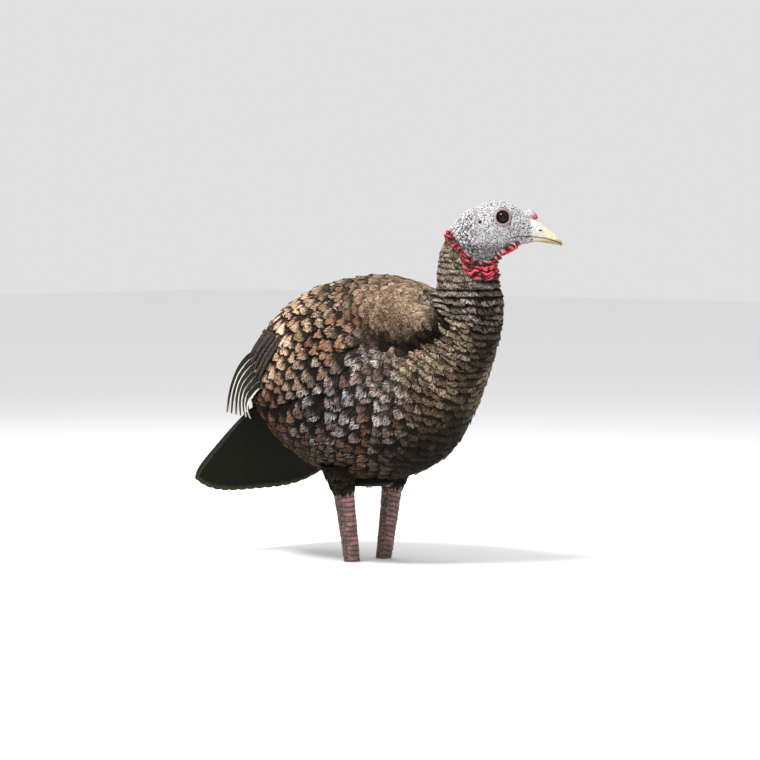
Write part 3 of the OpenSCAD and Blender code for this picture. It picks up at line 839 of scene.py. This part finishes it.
def add_top_row(plumes, random):
    """Short feathers round the top of the body's neck, right under the joint."""
    a = np.arange(-180, 180, 15.0) + random.uniform(-2, 2, 24)
    u = np.zeros(24)
    style = styled(tract_at(u, a), random)
    plumes.lay(u, a, 8.0, 15.5, style, lift=2.2, cup=0.5, blunt=0.3, fray=0.03, start=0.48)


def cut_hole(piece, radius, low, high):
    """Cuts a round upright hole through a piece at the stake's axis."""
    bpy.ops.mesh.primitive_cylinder_add(vertices=48, radius=radius * MM, depth=(high - low) * MM,
                                        location=(0, 0, (high + low) / 2 * MM))
    cutter = bpy.context.object
    cut = piece.modifiers.new("hole", "BOOLEAN")
    cut.operation = "DIFFERENCE"
    cut.solver = "EXACT"
    cut.object = cutter
    bpy.context.view_layer.objects.active = piece
    bpy.ops.object.modifier_apply(modifier="hole")
    bpy.data.objects.remove(cutter)


def add_hide(name, skin, low, high, body, place=None, flip=False, replaces=()):
    """The moulded wall under the feathers, seen in the gaps between them, near-black as black paint and
    painted shade.
    """
    u = np.linspace(low, high, 130)
    uu, aa = grid(np.concatenate([u, u[::-1]]), np.arange(-180, 180, 3))
    depth = np.repeat([-0.8, -3.0], len(u))[:, None]
    points = skin.point(uu, aa, np.broadcast_to(depth, uu.shape))
    faces = grid_faces(*uu.shape, wrap=True, close=True)
    if place:
        points = place(points)
    if flip:
        faces = faces[:, ::-1]
    return make_mesh(name, points, faces, GAP_BLACK_AND_SHADE, body, replaces=replaces)


def add_pad():
    """Flat pad moulded under the belly, that the flange is screwed to."""
    outer = [(PAD_R, 13), (PAD_R, 4.5), (PAD_R - 0.4, 3.4), (PAD_R - 1.5, 3)]
    r, z = np.array([*outer, (PAD_BORE, 3), (PAD_BORE, 13)]).T
    turn = np.radians(np.arange(0, 360, 5))[:, None]
    points = xyz(r * np.cos(turn), r * np.sin(turn), z)
    faces = grid_faces(*points.shape[:2], wrap=True, close=True)
    make_mesh("belly_pad", points, faces, GAP_BLACK_AND_SHADE, "body")


# ---- legs ----

LEG_HALF_TOP = 38
LEG_HALF_FOOT = 24.5
LEG_TOP_Z = -2
LEG_FOOT_Z = -78
LEG_R_TOP = 10.8
LEG_R_FOOT = 8.2
LEG_LEAN = math.atan((LEG_HALF_TOP - LEG_HALF_FOOT) / (LEG_TOP_Z - LEG_FOOT_Z))
LEG_LENGTH = (LEG_TOP_Z - LEG_FOOT_Z) / math.cos(LEG_LEAN)
THIGH_R_FOOT = 13.4
THIGH_R_TOP = 23
THIGH_H = 27
PAD_R = 30
PAD_BORE = 14.1
BELLY_HOLE_R = 24


def at_leg(side, p):
    """Puts points on an upright axis onto a leg's leaning axis."""
    return turned(p, 2, 0, side * LEG_LEAN) + (side * LEG_HALF_TOP, 0, LEG_TOP_Z)


def cracks(p, seed=0, low=0.02, high=0.4):
    """Pebbles round one random point in each unit cube: 0 in the cracks between them, 1 on top."""
    base = np.floor(p).astype(np.int64)
    near = np.full(p.shape[:-1], 9.0)
    second = np.full(p.shape[:-1], 9.0)
    for shift in np.ndindex(3, 3, 3):
        cube = base + np.array(shift) - 1
        mixed = (cube * np.array([73856093, 19349663, 83492791])).sum(axis=-1) + seed * 7919
        spot = xyz(*(np.abs(np.sin(mixed * 0.0137 + k * 1.7) * 43758.5453) % 1 for k in range(3)))
        d = np.linalg.norm(cube + 0.15 + 0.7 * spot - p, axis=-1)
        second = np.minimum(second, np.maximum(near, d))
        near = np.minimum(near, d)
    return rise(second - near, low, high)


def waves(p, size, seed=0):
    """Smooth random values of about -1 to 1 that change over a length in millimetres."""
    flat = (p / size + seed * 17.3).reshape(-1, 3)
    return np.array([noise.noise(Vector(q)) for q in flat]).reshape(p.shape[:-1]) * 1.6


def add_leg(side, name):
    """A bare leg stub with bands of scutes in front, small scales behind and a flat cut end."""
    rows, cols = 150, 84
    t, turn = grid(np.linspace(0, 1, rows), np.arange(cols) / cols * 2 * math.pi)
    front = np.cos(turn)
    radius = LEG_R_TOP + (LEG_R_FOOT - LEG_R_TOP) * t
    wall = xyz(radius * np.sin(turn), -radius * np.cos(turn), 4 - t * (LEG_LENGTH + 4))
    band = (wall[..., 2] + 0.9 * np.abs(turn - math.pi)) / 5.2 % 1
    scute = rise(band, 0, 0.22) * rise(band, 1.0, 0.82)
    scale = cracks(wall / (3.4, 3.4, 4.0), side, 0.03, 0.30)
    fronted = rise(front, 0.35, 0.6)
    relief = fronted * scute + (1 - fronted) * scale
    lump = waves(wall, 9.0, seed=side)
    height = 0.75 * relief - 0.55 + 0.25 * lump
    wall[..., :2] *= (1 + height / radius)[..., None]
    p = at_leg(side, wall)
    axis = at_leg(side, np.array([0, 0, 1.0])) - at_leg(side, np.zeros(3))
    slip = np.clip(LEG_FOOT_Z - p[..., 2], 0, None) / axis[2]
    p = p + slip[..., None] * axis
    p[-1] += ((LEG_FOOT_Z - p[-1, :, 2]) / axis[2])[:, None] * axis
    points, faces = closed_tube(p)
    mauve, brown = linear(146, 96, 102), linear(86, 66, 57)
    colour = towards(brown, mauve, rise(lump + 0.5 * front, -0.3, 0.9))
    # Painted shade: the cracks between scutes and scales are darkened through the alpha of tint.
    colour = with_alpha(colour, 0.95 * (1 - relief) ** 1.1)
    tint = {"tint": with_ends(colour, (*mauve, 0.2), (*linear(96, 66, 66), 0.3))}
    make_mesh(name, points, faces, LEG_PAINT, "body", tint, replaces=[name])


def thigh_points(side):
    def points(u, a):
        radius = THIGH_R_TOP + (THIGH_R_FOOT - THIGH_R_TOP) * u
        turn = np.radians(a)
        return at_leg(side, xyz(radius * np.sin(turn), radius * np.cos(turn), THIGH_H * (1 - u)))
    return points


def add_thigh(side, name):
    """The feathered thigh: a dark cone with short feathers lying down it."""
    skin = Skin(thigh_points(side), 0, 1, lambda u, a: np.full(u.shape, -1.4), steps=61)
    add_hide(name + "_hide", skin, 0.0, 1.0, "body")
    paints = (PAINT[key] for key in ("olive", "moss", "umber", "black"))
    values = look((8.0, 8.0, 2.0, 1.8), *paints, 0.6, 0, 0.7, 0.5)
    random = np.random.default_rng(40 + side)
    even = lambda u, a: np.broadcast_to(values, (*u.shape, len(values)))
    u, a = roots(skin, 0.02, 0.72, even, 0.2, random)
    style = styled(even(u, a), random)
    plumes = Plumes(skin, seed=5)
    plumes.lay(u, a, 15.0, 10.0, style, lift=1.6, fray=0.1)
    plumes.finish(name + "_plumage", "body")


# ---- neck and head ----

# Where the red skin ends over the neck feathers: angle from the nape and ring.
SKIN_EDGE_A = [0, 50, 65, 72, 83, 90, 106, 130, 160, 180]
SKIN_EDGE_U = [2.1, 1.98, 1.8, 1.4, 1.05, 0.8, 0.78, 1.2, 2.0, 2.15]
NECK_FEATHER = 13.9


def cover_neck():
    """Feathers of the neck above the joint, which point down towards it."""
    skin = Skin(head_points, 0, 2.6, lambda u, a: np.full(u.shape, -0.9), outward=-1, steps=121)
    add_hide("neck_hide", skin, 0.03, 2.3, "head", place=at_head, flip=True, replaces=["neck_shell"])
    random = np.random.default_rng(21)
    u, a = roots(skin, 0.0, 2.58, neck_style, 0.16, random)
    slope = skin.read(skin.du, u, a)
    above_joint = skin.point(u, a)[:, 2] - NECK_Z + 0.2
    room = above_joint * np.linalg.norm(slope, axis=-1) / np.maximum(slope[:, 2], 0.5)
    keep = (u < np.interp(np.abs(a), SKIN_EDGE_A, SKIN_EDGE_U) + 0.6) & (room > 5)
    u, a, room = u[keep], a[keep], room[keep]
    values = neck_style(u, a)
    style = styled(values, random)
    plumes = Plumes(skin, place=at_head, seed=6)
    length = np.minimum(NECK_FEATHER, room)
    lift = 1.9 * random.normal(1, 0.12, len(u))
    plumes.lay(u, a, length, values[:, 1] * 1.75, style, flow=-1, lift=lift,
               cup=0.45, blunt=0.3, fray=0.03, start=1 - length / NECK_FEATHER)
    plumes.finish("neck_top_plumage", "head")


def neck_style(_, a):
    """Spacing and colours of the neck's feathers: browner behind, grey and bluish in front."""
    behind = rise(np.abs(a), 110, 40)[..., None]
    sizes = (6.7, 10.0, 2.1, 1.9)
    grey = look(sizes, linear(92, 84, 84), PAINT["dust"], PAINT["tan"], PAINT["black"], 0.6, 0, 0.7, 0)
    pale = linear(196, 180, 160)
    brown = look(sizes, linear(104, 88, 74), pale, PAINT["tan"], PAINT["black"], 0.85, 0, 0.7, 0)
    return np.array(grey) * (1 - behind) + np.array(brown) * behind


MOUTH = [(43.3, 258.5), (52.0, 259.8), (63.4, 259.5), (77.6, 257.6), (87.0, 254.8), (94.5, 251.6)]
EAR = (10.4, 274.6)
BROW = (33, 288.5)
NOSTRIL = (72.0, 265.6)
# Upper edge of the red folds in side view, from the nape forward.
RED_TOP_G = [-30, -19, -10, -4, 4, 12, 20, 26, 34, 44, 56]
RED_TOP_Z = [270, 266, 252, 243, 237, 234, 235, 240, 243, 247, 252]
RIDGE_LEAN = math.radians(40)


def mouth_distance(g, z):
    """Distance from the line of the mouth in the head's side view."""
    place = xyz(g, z)
    best = np.full(g.shape, 99.0)
    for start, end in zip(MOUTH[:-1], MOUTH[1:]):
        way = np.subtract(end, start)
        run = np.clip(((place - start) * way).sum(axis=-1) / (way**2).sum(), 0, 1)
        best = np.minimum(best, np.linalg.norm(place - start - run[..., None] * way, axis=-1))
    return best


def red_amount(g, z, a):
    """How red the bare skin is: full in the folds over the feathers and up the throat's edge."""
    top_z = np.interp(g, RED_TOP_G, RED_TOP_Z)
    throat = rise(np.abs(a), 128, 152) * rise(g, 60, 46)
    return np.maximum(rise(z, top_z + 3, top_z - 2), throat)


def around(cols):
    """Angles in degrees spread evenly round a tube."""
    return (np.arange(cols) + 0.5) / cols * 360 - 180


def head_outward(u, a):
    """Directions straight out of the bare head and the beak."""
    round_way = head_points(u, a + 1) - head_points(u, a - 1)
    return -unit(np.cross(round_way, head_points(u + 0.02, a) - head_points(u - 0.02, a)))


def add_head():
    """The bare head: stippled crown, ridged nape, hanging red folds, eye rings, ears and mouth."""
    s, a = grid(np.linspace(0, 1, 330), around(220))
    low = np.interp(np.abs(a), SKIN_EDGE_A, SKIN_EDGE_U)
    u = low + (BEAK_START + 0.1 - low) * s**0.9
    p = head_points(u, a)
    x, g, z = p[..., 0], -p[..., 1], p[..., 2]
    red = red_amount(g, z, a)
    warp = xyz(waves(p, 9.0, seed=5), waves(p, 9.0, seed=6), waves(p, 6.0, seed=7))
    sag = 2.2 * np.cos((g + 2.5 * warp[..., 0]) * 2 * math.pi / 17)
    fold = cracks(xyz(x / 13, g / 13, (z + sag) / 3.9) + warp * 0.35, 2, 0.02, 0.42)
    leaning = turned(xyz(x, g, z), 1, 2, RIDGE_LEAN)
    ridge = cracks(leaning / (3.5, 4.2, 1.9) + warp * 0.4, 4, 0.03, 0.38)
    pebble = cracks(p / 1.5, 9)
    behind = rise(g, 16, 0) * (1 - red)
    jaw_shade = rise(z, 256, 247) * (1 - red) * rise(g, 58, 40)
    plain = np.clip(1 - behind - red, 0, 1)
    height = red * (3.3 * fold - 0.4) * rise(s, 0.0, 0.02)
    height += behind * (1.35 * ridge - 0.5) + plain * (0.42 * pebble - 0.1)
    height += 0.5 * waves(p, 7.0) * (1 - red) + 0.12 * waves(p, 2.2, seed=3)

    lateral = rise(np.abs(x), 6, 9)
    from_eye = np.hypot(g - EYE_PLACE[1], z - EYE_PLACE[2])
    socket = lateral * rise(from_eye, 7.0, 5.7)
    lid = lateral * hump(from_eye, 7.2, 0.85)
    lid_fold = lateral * hump(from_eye, 9.0, 0.6)
    brow = lateral * hump(np.hypot((g - BROW[0]) / 11, (z - BROW[1]) / 3.4), 0, 1.0)
    from_ear = np.hypot(g - EAR[0], z - EAR[1])
    ear = lateral * rise(from_ear, 2.3, 1.0)
    ear_rim = lateral * hump(from_ear, 3.3, 1.0)
    line = mouth_distance(g, z)
    mouth = hump(line, 0, 0.75) * rise(np.abs(x), 1.5, 3)
    lips = hump(line, 1.9, 0.9) * rise(np.abs(x), 1.5, 3) * rise(g, 44, 52)
    height = height * (1 - np.maximum(socket, lid)) + 1.5 * lid - 0.5 * lid_fold + 0.8 * brow
    height += 0.5 * ear_rim - 2.6 * ear - 1.2 * mouth + 0.35 * lips
    p = p + head_outward(u, a) * height[..., None]
    p[..., 0] -= np.sign(x) * socket * 4.4

    pale, grey = linear(205, 203, 204), linear(206, 202, 204)
    crimson, deep = linear(206, 62, 74), linear(92, 12, 20)
    # The red is deeper in the cracks between the folds, as painted shade.
    blush = deep + (crimson - deep) * fold[..., None]
    colour = pale * plain[..., None] + grey * behind[..., None] + blush * red[..., None]
    whitened = rise(red, 0.2, 0.6) * rise(red, 0.98, 0.7) * rise(fold, 0.5, 0.95)
    colour = towards(colour, grey, 0.5 * whitened)
    # Painted shade under the cheek: the skin below the jaw line is turned olive-black.
    colour = towards(colour, linear(56, 52, 42), 0.85 * jaw_shade * (1 - 0.5 * ridge))
    colour = towards(colour, linear(150, 96, 104), np.maximum(lid, 0.35 * lid_fold) * 0.9)
    # Painted shade: the nape's grooves, the red folds' cracks, the pebbled skin's hollows, the ear, the mouth
    # line, the eye socket and the lid's fold are darkened.
    crease_shade = behind * (1 - ridge) ** 0.9 + red * 0.95 * (1 - fold) ** 0.9 + plain * 0.35 * (1 - pebble)
    shadow = socket * rise(from_eye, 7.2, 6.6)
    crease_shade = np.maximum.reduce([crease_shade, ear, 0.9 * mouth, shadow, 0.55 * lid_fold])
    tint = with_ends(with_alpha(np.clip(colour, 0, 1), np.clip(crease_shade, 0, 1)), (*deep, 0.6), (*pale, 0.3))
    pepper = np.clip(plain * 0.95 + behind * 0.2 + jaw_shade * 0.6, 0, 1) * (1 - lid)
    pepper = with_ends(np.repeat(pepper[..., None], 4, axis=-1), (0, 0, 0, 0), (0, 0, 0, 0))
    points, faces = closed_tube(p, outward=-1)
    make_mesh("bare_head", at_head(points), faces, SKIN_PAINT, "head",
              {"tint": tint, "pepper": pepper}, replaces=["head_shell"])


def add_snood():
    """The small fleshy bump above the beak, wrinkled and pink at its tip."""
    t, turn = grid(np.linspace(0.01, 0.995, 60), np.arange(56) / 56 * 2 * math.pi)
    spine_g = 52 + 17.5 * t
    spine_z = 275.5 + 6.2 * np.sin(t * 2.3) - 0.8 * t
    rounded = np.sqrt(np.clip(1 - np.clip((t - 0.35) / 0.65, 0, 1) ** 2.2, 0, 1))
    bulk = 6.0 * rounded * (0.85 + 0.15 * np.sin(t * 3))
    across, up = bulk * np.cos(turn), bulk * np.sin(turn)
    p = xyz(0.9 * across, 0.25 * up - spine_g, up + spine_z)
    lump = cracks(p / 1.8, 12, 0.03, 0.4)
    p = p + unit(p - xyz(0, -spine_g, spine_z)) * (0.5 * lump - 0.2)[..., None]
    points, faces = closed_tube(p)
    pale, pink = linear(212, 208, 210), linear(206, 96, 104)
    colour = towards(pale, pink, rise(t + 0.15 * np.sin(turn * 2), 0.5, 0.95))
    ends = (*linear(200, 198, 200), 0.2), (*pink, 0.1)
    # Painted shade: the cracks between the snood's lumps are darkened through the alpha of tint.
    tint = with_ends(with_alpha(colour, 0.5 * (1 - lump)), *ends)
    pepper = with_ends(np.full((*t.shape, 4), 0.4), (0, 0, 0, 0), (0, 0, 0, 0))
    make_mesh("snood", at_head(points), faces, SKIN_PAINT, "head",
              {"tint": tint, "pepper": pepper})


def add_beak():
    """The beak, grey skin at its root and horn beyond, with the line of the mouth and nostrils."""
    u, a = grid(np.linspace(BEAK_START - 0.15, BEAK_END, 150), around(120))
    p = head_points(u, a)
    x, g, z = p[..., 0], -p[..., 1], p[..., 2]
    line = mouth_distance(g, z)
    mouth = hump(line, 0, 0.55) * rise(np.abs(x), 0.3, 1.0)
    from_nostril = np.hypot((g - NOSTRIL[0]) / 2.4, (z - NOSTRIL[1]) / 1.1)
    nostril = rise(from_nostril, 1.0, 0.5) * rise(np.abs(x), 1.5, 3)
    brim = hump(from_nostril, 1.5, 0.4) * rise(np.abs(x), 1.5, 3)
    cere = rise(g, 82, 68) * rise(z, 256, 261)
    height = 0.35 * brim - 1.0 * mouth - 1.3 * nostril + 0.12 * waves(p, 3.0, seed=31)
    height += cere * (0.35 * cracks(p / 1.5, 9) + 0.25) + 0.25 * hump(line, 1.5, 0.7)
    height -= 0.35 * rise(z, 258, 255) * rise(g, 70, 92)
    p = p + head_outward(u, a) * height[..., None]
    points, faces = closed_tube(p, outward=-1)
    horn, base = linear(208, 199, 166), linear(200, 199, 198)
    colour = towards(horn, linear(150, 136, 98), rise(z, 257.5, 254))
    # Painted shade: the mouth line and the nostrils are darkened through the alpha of tint.
    colour = with_alpha(towards(colour, base, cere), np.maximum(mouth * 0.95, nostril))
    tint = {"tint": with_ends(colour, (*base, 0.2), (*horn, 0.0))}
    make_mesh("horn_beak", at_head(points), faces, HORN_PAINT, "head", tint,
              replaces=["beak"])


# ---- tail ----

TAIL_ROOT = np.array([0, 127, 80.5])
TAIL_TILT = math.radians(90 - 69)
TAIL_GAP = 4
TAIL_LEN = 96
TAIL_HALF = 110
TAIL_BASE = 38
TAIL_CUT = 27
TAIL_FALL = 1.5
TAIL_FEATHERS = 16


def at_tail(p):
    """Puts points of the tail's own upright frame where the tilted tail stands."""
    return turned(p, 1, 2, TAIL_TILT) + TAIL_ROOT


def tail_sheet(t, s, lift):
    """The fan's points, t down it and s across it, lifted off its middle plane."""
    reach = TAIL_BASE + (TAIL_HALF - TAIL_BASE) * t**0.7
    x = s * reach * (1 - 0.10 * np.abs(s) ** 8 * t**6)
    edge = TAIL_LEN - TAIL_CUT * np.abs(x / TAIL_HALF) ** 3.5
    return at_tail(xyz(x, lift - TAIL_FALL * (x / TAIL_HALF) ** 2, -t * edge - TAIL_GAP))


def add_tail():
    """Tail fan: lapped feathers on top and a smooth dark underside with a rolled rim."""
    rows, cols = 110, 260
    t, s = grid(np.linspace(0, 1, rows), np.linspace(-1, 1, cols))
    across = (s + 1) / 2
    border = np.minimum(1 - np.abs(s), (1 - t) * 0.9)
    lap = across * TAIL_FEATHERS % 1
    feather = 1.5 * np.where(s < 0, lap, 1 - lap) - 1.0
    notch = 0.014 * np.abs(np.sin(across * TAIL_FEATHERS * math.pi)) ** 0.6
    streak = waves(xyz(s * 60, t * 3, 0), 1.0, seed=50)
    top = 1.4 + (feather + 0.5 * hump(lap, 0.5, 0.05)) * rise(t, 0, 0.1) + 0.12 * streak
    rim = 1.5 * hump(border, 0.035, 0.03)
    under = 0.10 * streak - 1.1 - rim - 0.25 * hump(lap, 0.5, 0.03) * rise(border, 0.05, 0.1)
    full = 0.4 + 0.6 * rise(border, 0.0, 0.02)
    reach = t * (0.986 + notch)
    points = np.stack([tail_sheet(reach, s, 0.2 + top * full), tail_sheet(reach, s, under * full - 0.2)])
    upper = np.broadcast_to((*linear(60, 46, 34), 1.0), (rows, cols, 4))
    # Painted highlight: the dark underside is turned lighter along its rolled rim.
    lower = towards(linear(25, 26, 19), linear(66, 64, 48), 0.8 * hump(border, 0.035, 0.02))
    tint = np.stack([upper, with_alpha(lower, np.zeros((rows, cols)))]).reshape(-1, 4)
    place = np.tile(xyz(across, t).reshape(-1, 2), (2, 1))
    make_mesh("tail_panel", points, slab_faces(rows, cols)[:, ::-1], TAIL_PAINT, "tail",
              {"tint": tint}, place, replaces=["tail_fan"])


def add_tongue():
    """The flat tongue that holds the tail in its sleeve, with cut corners and a narrower end."""
    half, thick, top_z = 20.0, 2.0, 32.0
    edge = np.array([(1 - half, -thick), (half - 1, -thick), (half, 0.8 - thick), (half, thick - 0.8)])
    loop = np.concatenate([edge, -edge])
    levels = [(-6.0, 1.0), (top_z - 1.2, 1.0), (top_z, 0.93)]
    rings = np.array([[(x * k, y * k, z) for x, y in loop] for z, k in levels])
    points, faces = closed_tube(at_tail(rings))
    make_mesh("tail_tongue", points, faces, NYLON, "tail")


# ---- wing feathers ----

LONG_ROWS = 34
LONG_COLS = 9


def long_feathers(name, side, quills, step=0.0, replaces=()):
    """Long separate feathers, each lying step millimetres further out than the last. Each quill gives
    its root, middle and tip for the left wing, then its width, the paints of its vane, barbs and rim,
    and the strengths of barbs and rim."""
    points, styles = [], []
    t = np.linspace(0, 1, LONG_ROWS)[:, None]
    s = np.linspace(-1, 1, LONG_COLS)[None, :]
    random = np.random.default_rng(60)
    mirror = np.array([side, 1, 1])
    outward = unit(WING_OUTWARD * mirror)
    for k, quill in enumerate(quills):
        root, middle, tip, width, vane, barbs, rim, barb_strength, rim_strength = quill
        start, half_way, end = (np.array(q) * mirror + outward * step * k for q in (root, middle, tip))
        c = start * (1 - t) * (1 - 2 * t) + half_way * 4 * t * (1 - t) + end * t * (2 * t - 1)
        along_way = unit(np.gradient(c, axis=0))
        n = unit(outward - along_way * (along_way * outward).sum(axis=-1, keepdims=True))
        across = unit(np.cross(along_way, n)) * side
        taper = np.sqrt(np.clip(1 - np.clip((t - 0.72) / 0.29, 0, 1) ** 2, 0.004, 1))
        half = width / 2 * np.minimum(1, 0.45 + t / 0.25 * 0.55) * taper
        wavy = 1 + 0.07 * np.sin(t * 24 + np.sign(s) * 1.3 + random.uniform(0, 6)) * s**2
        lift = 0.6 * hump(s, 0, 0.12) + 0.14 * np.sin(np.abs(s) * 17) - 1.5 * s**2 * half * 2 / width
        sheet = c[:, None] + across[:, None] * (half * s * wavy)[..., None] + n[:, None] * lift[..., None]
        under = sheet - n[:, None] * (0.55 + 0.5 * (1 - s**2))[..., None]
        if side < 0:
            sheet, under = sheet[:, ::-1], under[:, ::-1]
        points.append(np.stack([sheet, under]).reshape(-1, 3))
        paints = (PAINT[key] for key in (vane, barbs, vane, rim))
        style = look((), *paints, barb_strength, 0, rim_strength, 1)
        style[3] = random.uniform()
        styles.append(style)
    down = np.tile(0.70 + 0.17 * t[:, 0], (len(points), 1))
    make_leaves(name, np.array(points), styles, down, "body", replaces)


WING_OUTWARD = np.array([0.80, 0.48, 0.30])
QUILLS = 6


def primaries():
    """Black quills edged in white, fanned over one another behind the folded wing."""
    first = np.array([(54, 100, 136), (52, 133, 114), (47, 152, 70)])
    last = np.array([(80, 80, 104), (75, 103, 90), (61, 112, 68)])
    spines = first + (last - first) * np.linspace(0, 1, QUILLS)[:, None, None]
    widths = np.linspace(14, 20, QUILLS)
    looks = ("black", "bone", "bone", 0.05, 1.0)
    return [(*spine, width, *looks) for spine, width in zip(spines, widths)][::-1]


# Root and tip of each tertial as ring and angle, from the upper one down.
TERTIALS = [
    ((10.20, 36), (11.85, 57)),
    ((10.05, 40), (11.65, 63)),
    ((9.95, 44), (11.45, 68)),
    ((9.85, 48), (11.30, 72)),
    ((9.75, 51), (11.15, 75)),
]


def tertials(skin):
    """Smooth dark quills that lie over the folded wing, just under the back's feathers."""
    found = []
    for k, (root, tip) in enumerate(TERTIALS):
        places = np.array([root, np.add(root, tip) / 2, tip])
        r, m, e = skin.point(places[:, 0], places[:, 1], np.array([-1.4, 3.4, 5.0]) + 0.5 * (4 - k))
        found.append((r, m, e, 12.5, "plum", "dust", "black", 0.15, 1.0))
    return found


# ---- the whole ----

PLUMAGE = plumage_material()
SKIN_PAINT = skin_material()
HORN_PAINT = horn_material()
LEG_PAINT = leg_material()
TAIL_PAINT = tail_material()
# Near-black: black paint with painted shade in the gaps between feathers and under the belly.
GAP_BLACK_AND_SHADE = plain_material("gap_black_and_shade", linear(15, 12, 10), 0.9, gloss=0.05)
NYLON = plain_material("nylon", linear(27, 27, 24), 0.6, gloss=0.25)


def paint_nodes():
    """Gives every CAD piece that stays in sight its own stock, nylon where nothing else is said."""
    acetal = plain_material("acetal", linear(222, 220, 210), 0.35)
    steel = plain_material("steel", linear(170, 172, 176), 0.3, metallic=1.0)
    stock = {
        "swivel_sleeve": acetal,
        "swivel_ring": acetal,
        "thrust_ball": steel,
        "leg_pins": steel,
        "neck_o_ring": plain_material("rubber", linear(20, 20, 20), 0.8),
        "eye_left": eye_material("left"),
        "eye_right": eye_material("right"),
    }
    for node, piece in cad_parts.items():
        piece.data.materials.clear()
        piece.data.materials.append(steel if node.endswith("_screws") else stock.get(node, NYLON))


add_camera()
add_studio()
paint_nodes()
BODY_SKIN = Skin(body_points, 0.0, RUMP, body_relief)
hide = add_hide("body_hide", BODY_SKIN, 0.03, RUMP - 0.02, "body", replaces=["body_shell"])
cut_hole(hide, BELLY_HOLE_R, -10, 30)
add_pad()
cover_body(BODY_SKIN)
cover_neck()
add_head()
add_snood()
add_beak()
add_tail()
add_tongue()
for side, end in ((1, "left"), (-1, "right")):
    add_leg(side, "leg_" + end)
    add_thigh(side, "thigh_" + end)
    long_feathers("primaries_" + end, side, primaries(), step=1.1, replaces=["wing_tip_" + end])
    long_feathers("tertials_" + end, side, tertials(BODY_SKIN))
